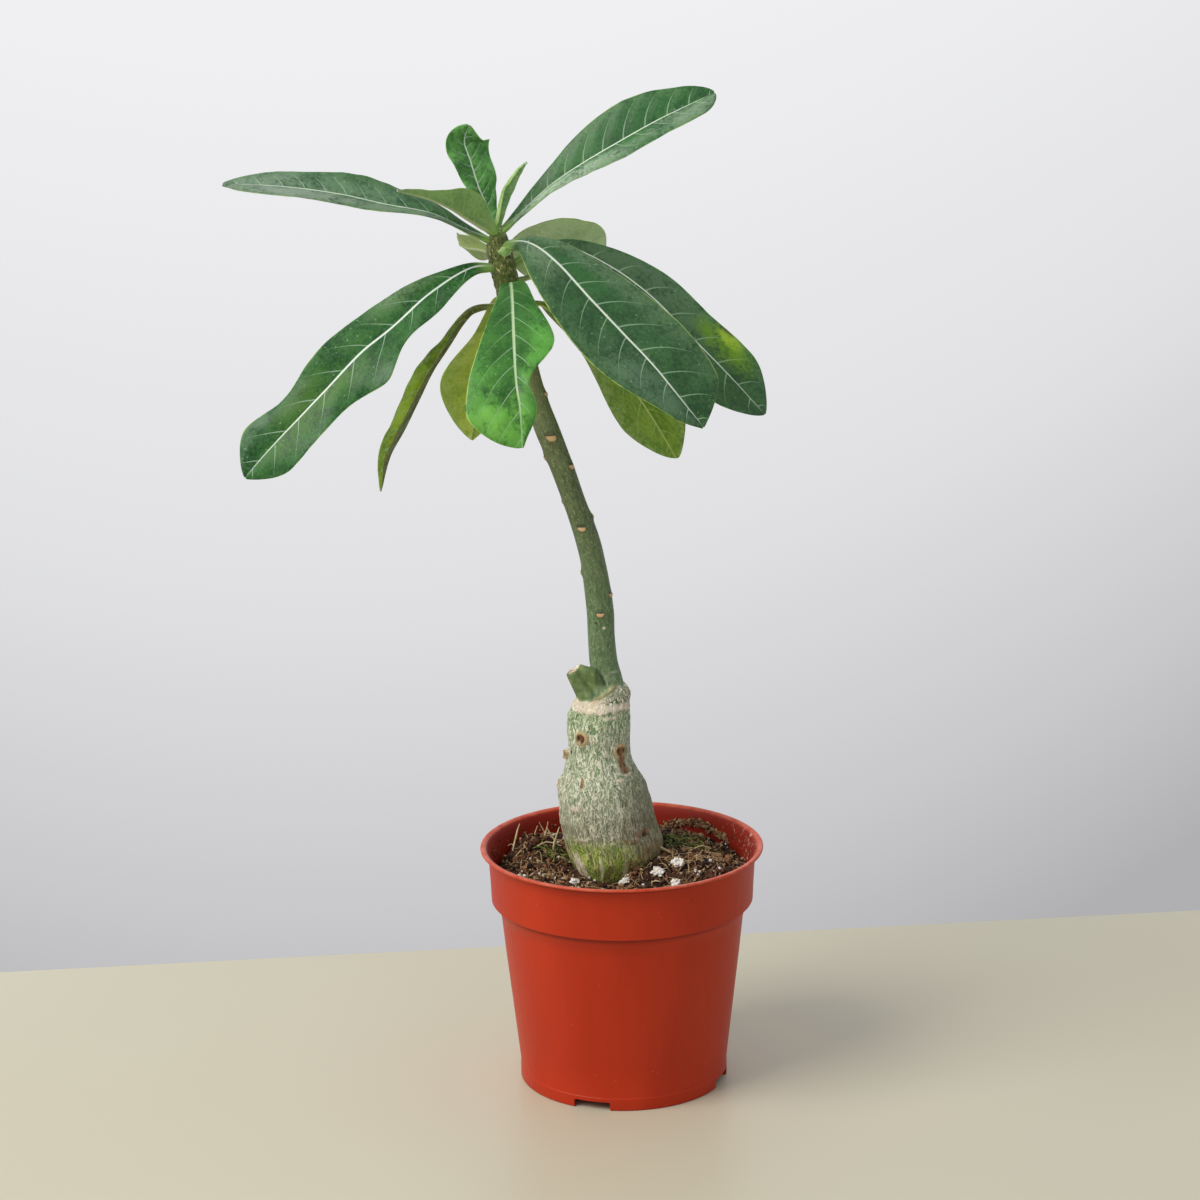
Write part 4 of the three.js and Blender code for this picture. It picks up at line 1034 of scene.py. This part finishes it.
# rows: x, y, z of the midrib and the half widths to its left and right. facing: where the upper side looks.
# veins: mm between them, how far each leans to the tip at its start, and how it curls near the margin.
# waves: count, height in mm and start of the margin's waves. patches: along, across, sizes, colour, strength;
# the pale grey-green ones are painted sheen.
# top and under: what differs from the two greens above.
leaves = {
    "leaf_left_long": {
        "rows": [(-49, 5.5, 327, 1.5, 1.5), (-56, 2, 333.5, 3.2, 3.2), (-68, -4, 340, 6, 7),
            (-85, -8, 344, 8, 10.5), (-101, -10, 348, 9, 10.5), (-122, -10, 351, 10, 8),
            (-144, -8, 352, 7, 5)],
        "facing": [(-0.1, -0.45, 0.87), (0, -0.5, 0.87)], "fold": 18, "tip": 0.8, "slot": "leaf_green",
        "veins": (8, 0.6, 0.5), "waves": (2.5, 0.6, 0.5),
        "top": {"dark": "#30593a", "light": "#53804f"},
        # the pale grey-green patches are painted sheen
        "patches": [(0.85, -0.5, 0.45, 0.8, "#8f9d90", 0.8), (0.4, -0.6, 0.4, 0.6, "#7b9078", 0.5),
            (0.9, 0.4, 0.3, 0.8, "#84978a", 0.6), (0.56, 0.3, 0.2, 0.6, "#78967a", 0.6)],
    },
    "leaf_left_wavy": {
        "rows": [(-46, 2, 319, 1.5, 1.5), (-55, -3, 319, 4, 3), (-69, -9, 311, 8, 7),
            (-82, -15, 300, 8.5, 12), (-94, -20, 291, 17, 12.5), (-105, -24, 280, 11.5, 12),
            (-116, -27, 269, 12, 10), (-127, -30, 258, 12, 12), (-137, -31, 247, 8.5, 9.5)],
        "facing": [(-0.2, -0.75, 0.6), (-0.15, -0.9, 0.4)], "fold": 8, "tip": 0.74, "slot": "leaf_green",
        "veins": (14, 1.0, 0.3), "waves": (3, 1.3, 0.2),
        "top": {"dark": "#1a4a20", "light": "#346f30", "gloss": 0.3, "frost": "#4f7550", "vein": "#aecbb4",
            "rib": "#e6f2ea"},
        # the pale grey-green patches are painted sheen
        "patches": [(0.3, 0.75, 0.14, 0.5, "#7b9a70", 0.8), (0.9, 0.95, 0.14, 0.6, "#6f8c74", 0.8),
            (0.72, 0.4, 0.16, 0.6, "#416a1a", 0.85), (0.83, -0.4, 0.16, 0.7, "#2f6828", 0.85),
            (0.5, -0.9, 0.08, 0.3, "#5c7f63", 0.5), (0.72, -0.2, 0.3, 0.5, "#4c7a26", 0.6),
            (0.35, 0.5, 0.2, 0.5, "#3a6e2a", 0.5), (0.64, 0.3, 0.2, 0.6, "#3d7028", 0.5)],
    },
    "leaf_left_drooping": {
        "rows": [(-46, 3, 305, 1.5, 1.5), (-52, 0, 304, 2.2, 2.2), (-57, -3, 300, 3.2, 3.2),
            (-63, -5, 291, 4.2, 4.2), (-69, -6, 282, 6, 6), (-74, -6, 272, 7.5, 7.5), (-80, -5, 260, 7, 7),
            (-86, -3, 249, 5.5, 5.5), (-90, 0, 235, 1.5, 1.5)],
        "facing": [(-0.75, -0.3, 0.6), (-0.85, -0.4, 0.35)], "fold": 35, "tip": 0.8, "slot": "leaf_bright",
        "veins": (9, 0.7, 0.5), "waves": (2, 0.5, 0),
        "top": {"dark": "#5f7a1e", "light": "#8aa52c", "margin": "#6e4a2c"},
        "under": {"dark": "#4c5a26", "light": "#6b7a35", "margin": "#6e4a2c", "rib": "#8a8a50"},
        "patches": [(0.6, 0.3, 0.3, 1.2, "#9dbb22", 0.8)],
    },
    "leaf_back_low_left": {
        "rows": [(-43, 11, 309, 1.5, 1.5), (-45, 19, 303, 3, 3), (-50, 32, 287, 6, 8), (-54, 46, 268, 15, 14),
            (-58, 56, 244, 12, 9)],
        "facing": [(0, 0.6, 0.8), (0, 0.85, 0.5)], "fold": 6, "tip": 0.7, "slot": "leaf_under",
        "veins": (11, 0.7, 0.5), "waves": (2, 0.7, 0.4),
        "top": {"dark": "#4f6f26", "light": "#71902f"},
        "under": {"dark": "#86a038", "light": "#a8ba4a", "margin": "#7a4e2c", "streaks": 0.4},
    },
    "leaf_front": {
        "rows": [(-40, 2, 310, 2, 2), (-39, -6, 314, 5, 4), (-38, -22, 310, 8, 6),
            (-37, -41, 297.5, 14.8, 12.3), (-36, -54, 286, 5, 17.5), (-34.5, -60, 276, 6, 19.5),
            (-34, -62, 263, 1.5, 15.5)],
        "facing": [(0, -0.5, 0.85), (0, -0.85, 0.5), (0.05, -0.95, 0.35)], "fold": 6, "tip": 0.5,
        "slot": "leaf_bright", "veins": (9.5, 1.0, 0.4), "waves": (2, 0.8, 0.1), "ribWidth": 0.95,
        "top": {"dark": "#295d1f", "light": "#417e30", "margin": "#b9d36e", "rib": "#b9d4a8",
            "frost": "#4f8f3c", "speckle": 0.38},
        "under": {"dark": "#6a8a48", "light": "#86a860"},
        "patches": [(0.3, 0.0, 0.22, 1.6, "#2f642c", 0.5), (0.93, 0.3, 0.28, 1.6, "#76be4e", 0.8),
            (0.5, -0.8, 0.15, 0.5, "#62ab46", 0.8), (0.62, -0.7, 0.22, 0.6, "#66b046", 0.6),
            (0.7, 0.75, 0.2, 0.5, "#5aa03c", 0.7), (0.88, 0.7, 0.12, 0.5, "#8aca5e", 0.7)],
    },
    "leaf_right_front": {
        "rows": [(-40, 3, 327, 1.5, 1.5), (-32, -6, 329, 4, 6), (-22, -14, 323, 10, 13),
            (-10, -23, 311, 15.5, 17), (2, -30, 299, 18, 18.5), (13, -36, 288, 19, 16),
            (23, -40, 276, 17.5, 9), (31, -42, 266, 13, 5.5)],
        "facing": [(0.2, -0.7, 0.6), (0.25, -0.85, 0.45)], "fold": 8, "tip": 0.8, "slot": "leaf_green",
        "veins": (11, 0.4, 0.5), "waves": (2, 0.5, 0.3),
        "top": {"dark": "#244b29", "light": "#3b683a", "margin": "#a8bb60"},
        # the pale grey-green patches are painted sheen
        "patches": [(0.22, 0.35, 0.16, 0.6, "#748f6e", 0.85), (0.2, -0.7, 0.3, 0.5, "#6d8a66", 0.5),
            (0.5, -0.8, 0.4, 0.4, "#5a7757", 0.5), (0.35, -0.3, 0.22, 0.4, "#28642c", 0.6),
            (0.78, 0.5, 0.3, 0.7, "#64826a", 0.6), (0.08, 0.0, 0.12, 1.2, "#7b957a", 0.5)],
    },
    "leaf_right_behind": {
        "rows": [(-37, 8, 318, 1.5, 1.5), (-29, 10, 324, 1.5, 1.5), (-19, 10, 326, 3, 4), (-2, 9, 318, 8, 10),
            (13, 7, 307, 12, 13), (27, 3, 293, 12, 13), (42, -2, 278, 13, 14), (55, -6, 264, 9, 10)],
        "facing": [(0.2, -0.6, 0.7), (0.3, -0.85, 0.5)], "fold": 8, "tip": 0.66, "slot": "leaf_green",
        "veins": (12, 0.4, 0.5), "waves": (2.5, 0.6, 0.6),
        "top": {"dark": "#2c5431", "light": "#447242"},
        "patches": [(0.5, -0.4, 0.4, 0.9, "#5b785a", 0.8), (0.8, -0.6, 0.13, 0.6, "#6a9600", 1.0),
            (0.79, -0.82, 0.06, 0.3, "#a6c414", 0.95), (0.77, -0.97, 0.035, 0.12, "#4a2416", 1.0),
            (0.9, 0.4, 0.15, 0.6, "#3f6428", 0.4)],
    },
    "leaf_right_low": {
        "rows": [(-35, 8, 304, 1.5, 1.5), (-29, 11, 304.5, 2, 2), (-23, 15, 300, 4, 4),
            (-10, 21, 289, 10, 10), (1, 26, 276, 15, 15), (13, 31, 258, 18, 15), (23, 34, 240, 13, 8)],
        "facing": [(0.35, 0.5, 0.75), (0.35, 0.75, 0.5)], "fold": 6, "tip": 0.55, "slot": "leaf_green",
        "veins": (10, 0.7, 0.5), "waves": (2, 0.6, 0.3),
        "top": {"dark": "#3c6428", "light": "#5c8632"},
        "under": {"dark": "#557c24", "light": "#7f9f3a", "margin": "#5c4a22", "rib": "#b9c97c",
            "vein": "#9fb860", "streaks": 0.5},
    },
    "leaf_upper_right": {
        "rows": [(-41, 5, 331, 1.5, 1.5), (-35, 4, 339, 3, 3.3), (-24, 3, 349, 6, 6.3),
            (-12, 3, 357, 10.5, 9), (2, 3, 365, 13.5, 11.5), (15, 4, 372, 13, 11.5), (28, 6, 378, 8.5, 10.5),
            (37, 8, 382, 4.5, 7.5)],
        "facing": [(-0.4, -0.62, 0.75), (-0.4, -0.85, 0.6)], "fold": 22, "tip": 0.5, "slot": "leaf_green",
        "veins": (8.5, 0.5, 0.5), "waves": (2, 0.5, 0.4),
        "top": {"dark": "#25552c", "light": "#3c743c"},
        # the pale grey-green patches are painted sheen
        "patches": [(0.3, 0.6, 0.4, 0.7, "#abc0a8", 0.9), (0.85, 0.5, 0.3, 0.7, "#8aa288", 0.7),
            (0.6, -0.5, 0.3, 0.6, "#2e6a36", 0.5)],
    },
    "leaf_back_right": {
        "rows": [(-40, 9, 325, 1.5, 1.5), (-35, 15, 325, 8, 9), (-25, 30, 321, 13, 14.5),
            (-14, 44, 317, 13, 15.5), (-4, 57, 319, 8, 14)],
        "facing": [(-0.7, 0.55, 0.45), (-0.7, 0.55, 0.45)], "fold": 8, "tip": 0.5, "slot": "leaf_under",
        "veins": (10, 0.8, 0.4), "waves": (1.5, 0.5, 0.2),
        "under": {"dark": "#b3c492", "light": "#cfdab4", "vein": "#e2e9c8", "streaks": 1.0},
    },
    "leaf_young_upright": {
        "rows": [(-44, 8, 330, 1.2, 1.2), (-48, 10.5, 341, 2.5, 4), (-51, 11, 348, 4.5, 7.5),
            (-54, 12, 358, 7, 8), (-56, 12, 365, 7.5, 9.5), (-54, 10, 371, 5, 5)],
        "facing": [(0.3, -0.9, 0.3), (0.2, -0.95, 0.2)], "fold": 12, "tip": 0.5, "slot": "leaf_bright",
        "veins": (4.4, 0.6, 0.4), "waves": (4, 0.9, 0.1),
        "top": {"dark": "#396c36", "light": "#62a050", "frost": "#74ae64"},
        "patches": [(0.85, 0.5, 0.12, 0.4, "#74a85a", 0.6)],
    },
    "leaf_young_narrow": {
        "rows": [(-43.2, 5, 332, 0.8, 0.8), (-43.2, 3.5, 339, 2.4, 2.4), (-41.5, 3.4, 346.5, 3.2, 3.2),
            (-39, 3, 351, 3, 3), (-36, 2, 355, 2, 2), (-32.5, 1, 358, 0.8, 0.8)],
        "facing": [(0.7, -0.6, 0.1), (0.7, -0.6, 0.1)], "fold": 50, "tip": 0.8, "slot": "leaf_bright",
        "veins": (5, 0.8, 0.2), "waves": (2, 0.2, 0),
        "top": {"dark": "#7caa6c", "light": "#b0d094"},
        "under": {"dark": "#7ca262", "light": "#acd08a"},
    },
    "leaf_front_left_folded": {
        "rows": [(-46, 2, 330.5, 1.8, 1.8), (-54, -6, 338, 9.5, 8.5), (-60, -14, 343, 10.5, 8.5),
            (-68, -24, 348, 3.5, 3), (-78, -36, 352, 1.5, 1.5)],
        "facing": [(0.1, 0.3, 0.95), (0.1, 0.3, 0.95)], "fold": 50, "tip": 0.7, "slot": "leaf_under",
        "veins": (7, 0.8, 0.3), "waves": (1.5, 0.3, 0.2),
        "under": {"dark": "#7ca060", "light": "#98bd76", "streaks": 0.6},
    },
    "leaf_back_left_small": {
        "rows": [(-48, 10, 324, 1.5, 1.5), (-52, 21, 324, 6, 6), (-56, 32, 323, 7.5, 8),
            (-60, 42, 323, 5, 6)],
        "facing": [(0.5, 0.6, 0.6), (0.5, 0.6, 0.6)], "fold": 8, "tip": 0.5, "slot": "leaf_under",
        "veins": (8, 0.8, 0.3), "waves": (1.5, 0.4, 0.2),
        "under": {"dark": "#7f9a50", "light": "#98ad66"},
    },
    "leaf_right_hidden": {
        "rows": [(-37, 9, 313, 1.5, 1.5), (-30, 16, 314, 2.5, 2.5), (-16, 32, 311, 9, 9),
            (0, 48, 301, 12, 12), (12, 60, 287, 8, 8)],
        "facing": [(-0.3, 0.3, 0.9), (0.2, 0.5, 0.8)], "fold": 8, "tip": 0.6, "slot": "leaf_green",
        "veins": (10, 0.6, 0.5), "waves": (2, 0.7, 0.2),
        "top": {"dark": "#2f5c2c", "light": "#4a7c3a"},
    },
}


def leafMaterial(name, look, veins, ribWidth, patches):
    # waxy leaf skin: pale midrib and side veins, soft mottling, a bright margin, and painted sheen in patches
    # and towards the margin
    material, add = newMaterial(name)
    share = add("UVMap", uv_map="share")
    blade = add("UVMap", uv_map="blade")
    veinPlace = add("SeparateXYZ", add("UVMap", uv_map="veins"))
    sharePlace = add("SeparateXYZ", share)
    bladePlace = add("SeparateXYZ", blade)
    toTip, outward = sharePlace.outputs["X"], veinPlace.outputs["Y"]

    # mottling 8 mm and 1.5 mm across
    cloud = add("TexNoise", blade, 12, 4, 0.6)
    speckle = add("TexNoise", blade, 66, 4, 0.65)
    coarse = add("Math", cloud, 1 - look["speckle"], **product)
    tone = add("Math", coarse, add("Math", speckle, look["speckle"], **product))
    layers = []  # cover and colour, from the lowest
    if look["streaks"]:
        drawn = add("Mapping", blade, Scale=(12, 150, 1), Rotation=(0, 0, 0.12))
        streak = add("TexNoise", drawn, 1, 3)
        layers.append((add("MapRange", streak, 0.5, 0.75, 0, 0.55 * look["streaks"], **soft), look["vein"]))
    # patches: the leaf's own colour, and in pale grey-green a painted sheen
    for along, across, long, wide, colour, strength in patches:
        spot = add("Mapping", share, Location=(-along / long, -(0.5 + across / 2) / (wide / 2), 0),
            Scale=(1 / long, 2 / wide, 1))
        wander = add("MixRGB", 0.3, spot, cloud.outputs["Color"], blend_type="LINEAR_LIGHT")
        glow = add("TexGradient", wander, gradient_type="SPHERICAL")
        glow = add("MapRange", glow, 0, 0.75, 0, strength, **soft)
        layers.append((add("Math", glow, add("MapRange", tone, 0.34, 0.56, **soft), **product), colour))
    # painted sheen: greyer towards the margin
    marginSheen = add("MapRange", outward, 0.4, 0.98, 0, 0.35, **soft)
    marginSheen = add("Math", marginSheen, add("MapRange", tone, 0.36, 0.6, **soft), **product)
    layers.append((marginSheen, look["frost"]))
    # pale flecks, 0.3 mm
    fleck = add("TexVoronoi", blade, 48)
    fleck = add("MapRange", fleck.outputs["Distance"], 0.16, 0.07, 0, 0.7, **soft)
    fleck = add("Math", fleck, add("MapRange", speckle, 0.48, 0.58, **soft), **product)
    layers.append((fleck, look["vein"]))
    # fine net of veins, 2 mm meshes
    net = add("TexVoronoi", blade, 52, feature="DISTANCE_TO_EDGE")
    net = add("MapRange", net.outputs["Distance"], 0.07, 0.02, 0, 0.06, **soft)
    layers.append((net, look["vein"]))
    # side veins 0.8 mm wide at the midrib, thinning outwards
    beat = add("Math", veinPlace.outputs["X"], leafBuild["mapVeins"], **product)
    beat = add("Math", add("Math", beat, operation="FRACT"), 0.5, operation="SUBTRACT")
    away = add("Math", add("Math", beat, operation="ABSOLUTE"), veins, **product)
    thin = add("MapRange", outward, 0, 1, 0.36, 0.12)
    side = add("MapRange", add("Math", away, thin, operation="DIVIDE"), 1.25, 0.45, **soft)
    fade = add("MapRange", outward, 0.3, 0.9, 0.62, 0.08)
    side = add("Math", side, fade, **product)
    side = add("Math", side, add("MapRange", toTip, 0.06, 0.14, **soft), **product)
    layers.append((side, look["vein"]))
    # margin
    edge = add("MapRange", outward, 0.965, 0.99, 0, 0.9, **soft)
    layers.append((add("Math", edge, add("MapRange", cloud, 0.4, 0.55, **soft), **product), look["margin"]))
    # midrib, and the petiole as pale as it is
    middle = add("Math", bladePlace.outputs["Y"], 0.5, operation="SUBTRACT")
    middle = add("Math", add("Math", middle, operation="ABSOLUTE"), leafBuild["mapLength"], **product)
    halfWidth = add("MapRange", toTip, 0, 1, 1.02 * ribWidth, 0.24)
    rib = add("MapRange", add("Math", middle, halfWidth, operation="DIVIDE"), 1.3, 0.55, **soft)
    rib = add("Math", rib, add("MapRange", toTip, 0.75, 1, 1, 0.45), **product)
    layers.append((rib, look["rib"]))
    stalk = add("MapRange", toTip, 0.11, 0.03, 0, 0.85, **soft)
    layers.append((stalk, "#98bd66"))

    skin = add("MixRGB", add("MapRange", tone, 0.38, 0.62, **soft), look["dark"], look["light"])
    for cover, colour in layers:
        skin = add("MixRGB", cover, skin, colour)

    rough = add("MapRange", tone, 0.35, 0.65, look["rough"] - 0.05, look["rough"] + 0.09)
    cells = add("TexNoise", blade, 160, 3)
    height = add("Math", cells, 0.5, **product)
    for groove, depth in ((side, 0.9), (net, 1.2)):
        height = add("Math", height, add("Math", groove, depth, **product), operation="SUBTRACT")
    bump = add("Bump", 0.4, 0.0003, Height=height)
    return setSurface(material, {"Base Color": skin, "Roughness": rough, "Normal": bump, "IOR": 1.42,
        "Specular IOR Level": look["gloss"], "Subsurface Weight": 0.4, "Subsurface Radius": (0.6, 1.0, 0.3),
        "Subsurface Scale": 0.0014})


def leafStation(leaf, share):
    x, y, z, left, right = between(leaf["rows"], share)
    ahead = Vector(between(leaf["rows"], min(share + 0.001, 1))[:3])
    along = (ahead - Vector(between(leaf["rows"], max(share - 0.001, 0))[:3])).normalized()
    up = Vector(between(leaf["facing"], share))
    up = (up - up.dot(along) * along).normalized()
    return Vector((x, y, z)), up, along.cross(up), left, right


def seatOnStem(leaf):
    # starts the midrib a little inside the stem's skin, at the height of its first row
    first, second = leaf["rows"][:2]
    start = Vector((float(stemAt(first[2])[0]), trunk["depth"], first[2]))
    stride = (Vector(second[:3]) - start).normalized() * leafBuild["seatStep"]
    while start.z <= leafBuild["aboveStem"]:
        x, radius = stemAt(min(start.z, leafBuild["stemTop"]))
        if math.hypot(start.x - x, start.y - trunk["depth"]) > radius - leafBuild["sink"]:
            break
        start += stride
    return {**leaf, "rows": [(*start, first[3], first[4])] + list(leaf["rows"][1:])}


def veinPhase(leaf, along, across, halfWidth, side):
    # which side vein a point lies on, counted from the stem; along and across in mm
    spacing, lean, curl = leaf["veins"]
    out = np.clip(across / np.maximum(halfWidth, 0.5), 0, 1)
    wander = 0.12 * np.sin(along / 13 + 2.1 * side)
    return (along - lean * across - curl * halfWidth * out ** 2.2) / spacing + wander + 0.25 * side


def makeLeaf(name, leaf):
    leaf = seatOnStem(leaf)
    rows, columns = leafBuild["rows"], leafBuild["columns"]
    closing = 1 / (len(leaf["rows"]) - 1)
    shares = [min(1 - (1 - i / rows) ** 1.25, 0.9992) for i in range(rows + 1)]
    even = [2 * i / columns - 1 for i in range(columns + 1)]
    spread = [math.copysign(abs(across) ** 1.25, across) for across in even]
    stations = []
    length = 0
    before = None
    for share in shares:
        middle, up, side, left, right = leafStation(leaf, share)
        length += (middle - before).length if before else 0
        before = middle
        late = max(0, (share - 1 + closing) / closing)
        tip = (1 - late ** 2) ** leaf["tip"]
        stations.append((middle, up, side, left * tip, right * tip, length))
    count, waveHeight, start = leaf["waves"]
    points, weights = [], []
    for share, (middle, up, side, left, right, along) in zip(shares, stations):
        grown, late = float(smoothStep(share, 0.1, 0.3)), float(smoothStep(share, 0.1, 0.25))
        fold = math.radians(leaf["fold"]) * float(smoothStep(share, 0, 0.12))
        petiole = min(leafBuild["petiole"], 1.5 * leaf["rows"][0][3])
        core = petiole + (leafBuild["blade"] - petiole) * float(smoothStep(share, 0, 0.2))
        ribStart = float(smoothStep(share, 0.02, 0.14))
        edge = min(core, 1.3 + (leafBuild["edge"] - 1.3) * float(smoothStep(share, 0, 0.14)))
        for across in spread:
            halfWidth = left if across < 0 else right
            reach = abs(across) * halfWidth
            out = abs(across)
            sign = math.copysign(1, across) if across else 0
            ridge = math.exp(-(reach / 1.15) ** 2) * leafBuild["rib"] * (1 - 0.75 * share) * ribStart
            phase = float(veinPhase(leaf, along, reach, halfWidth, sign))
            quilt = 0.3 * math.sin(math.pi * (phase - 0.5)) ** 2 * 4 * out * (1 - out) * late
            swing = math.sin(2 * math.pi * (count * share + start) + 1.7 * sign)
            wave = waveHeight * out ** 2.2 * swing * grown
            crinkle = 0.35 * out ** 3 * noise.noise(Vector((along / 4.5, sign * 3, waveHeight * 5))) * grown
            recurve = -0.05 * reach * out ** 2
            lift = reach * math.sin(fold) + quilt + wave + crinkle + recurve - ridge * 0.62
            points.append((middle + side * sign * reach * math.cos(fold) + up * lift) * mm)
            weights.append((edge + (core - edge) * (1 - out ** 2) + ridge) / leafBuild["solid"])

    blade = addPrimitive("grid", x_subdivisions=columns, y_subdivisions=rows, size=1)
    thickness = blade.vertex_groups.new(name="thickness")
    for vertex in blade.data.vertices:
        column, row = round((vertex.co.x + 0.5) * columns), round((vertex.co.y + 0.5) * rows)
        at = row * (columns + 1) + column
        vertex.co = points[at]
        thickness.add([vertex.index], min(weights[at], 1), "REPLACE")
    addModifier(blade, "SOLIDIFY", thickness=leafBuild["solid"] * mm, offset=0, vertex_group="thickness",
        material_offset=1, material_offset_rim=0)
    addModifier(blade, "SUBSURF", levels=1, render_levels=1)
    ribWidth = leaf.get("ribWidth", 0.72) * min(1, 0.35 + max(leaf["rows"][2][3:]) / 10)
    ending = name.replace("leaf_", "_")
    for label, look, patches in (("leafTop", {**topGreen, **leaf.get("top", {})}, leaf.get("patches", [])),
        ("leafUnder", {**underGreen, **leaf.get("under", {})}, [])):
        blade.data.materials.append(leafMaterial(label + ending, look, leaf["veins"][0], ribWidth, patches))
    applyModifiers(blade)

    # maps for the materials: shares of length and width, millimetres, and the count of side veins
    data = blade.data
    loops = len(data.loops)
    flat = np.empty(loops * 2)
    data.uv_layers[0].data.foreach_get("uv", flat)
    column, row = flat.reshape(-1, 2).T
    across = np.interp(column, np.linspace(0, 1, columns + 1), spread)
    share = np.interp(row, np.linspace(0, 1, rows + 1), shares)
    along = np.interp(share, shares, [s[5] for s in stations])
    left, right = (np.interp(share, shares, [s[k] for s in stations]) for k in (3, 4))
    starts, totals = np.empty(len(data.polygons), int), np.empty(len(data.polygons), int)
    data.polygons.foreach_get("loop_start", starts)
    data.polygons.foreach_get("loop_total", totals)
    sums = np.add.reduceat(across, starts)
    side = np.repeat(np.sign(sums), totals)
    halfWidth = np.where(side < 0, left, right)
    reach = np.abs(across) * halfWidth
    phase = veinPhase(leaf, along, reach, halfWidth, side)
    maps = {"share": (share, 0.5 + across / 2), "blade": (along / leafBuild["mapLength"],
        0.5 + side * reach / leafBuild["mapLength"]),
        "veins": (phase / leafBuild["mapVeins"], np.abs(across))}
    data.uv_layers[0].name = "share"
    for mapName, (u, v) in maps.items():
        layer = data.uv_layers.get(mapName) or data.uv_layers.new(name=mapName)
        layer.data.foreach_set("uv", np.stack([u, v], 1).ravel())
    shadeSmooth(blade)
    piece = "".join(part.capitalize() for part in name.split("_"))
    setPiece(blade, piece[0].lower() + piece[1:], [], leaf["slot"], name)


for name, leaf in leaves.items():
    makeLeaf(name, leaf)
print("fifteen leaves made")


# place, half sizes and turn of each scale, in mm and degrees: the bud is a small rhombus that points right
bud = {
    "scales": [((-41.0, 1.0, 325.3), (2.6, 1.5, 2.0), 2), ((-42.0, 1.8, 325.1), (2.0, 1.5, 1.9), -10),
        ((-41.1, 1.7, 324.6), (2.3, 1.6, 1.7), 12)], "corner": 1.08, "dark": "#6d9f4e", "light": "#9fca78",
    "tip": "#dbe9b8",
}


def makeBud():
    # a dormant bud: small overlapping scales, waxy and pale green, paler along their edges
    material, add = newMaterial("budScale")
    cloud = add("TexNoise", add("TexCoord").outputs["Object"], 900, 4)
    tint = add("ValToRGB", cloud, stops=[(0.3, bud["dark"]), (0.6, bud["light"])])
    edge = add("Attribute", attribute_name="edge").outputs["Fac"]
    setSurface(material, {"Base Color": add("MixRGB", edge, tint, bud["tip"]), "Roughness": 0.45, "IOR": 1.42,
        "Normal": add("Bump", 0.4, 0.0002, Height=cloud)})
    corner = bud["corner"]
    scales = []
    for middle, size, turn in bud["scales"]:
        scale = addPrimitive("ico_sphere", subdivisions=5, radius=1)
        lean = Matrix.Rotation(math.radians(turn), 3, "Y")
        edges = []
        for vertex in scale.data.vertices:
            x, y, z = vertex.co
            flat = math.hypot(x, z)
            # a rhombus seen from the front, domed towards the viewer, with a keel down its middle
            reach = flat / max((abs(x) ** corner + abs(z) ** corner) ** (1 / corner), 1e-6)
            keel = 0.12 * math.exp(-(z / 0.12) ** 2) * (1 - abs(x))
            spot = lean @ Vector((x * reach * size[0], (y - keel) * size[1], z * reach * size[2]))
            vertex.co = (spot + Vector(middle)) * mm
            edges.append(0.8 * float(smoothStep(flat, 0.72, 0.95)))
        setValues(scale, "edge", edges)
        scales.append(scale)
    piece = joinAll(scales)
    shadeSmooth(piece)
    setPiece(piece, "sideBud", [material], "leaf_bright", "side_bud")
    print("side bud made")


makeBud()
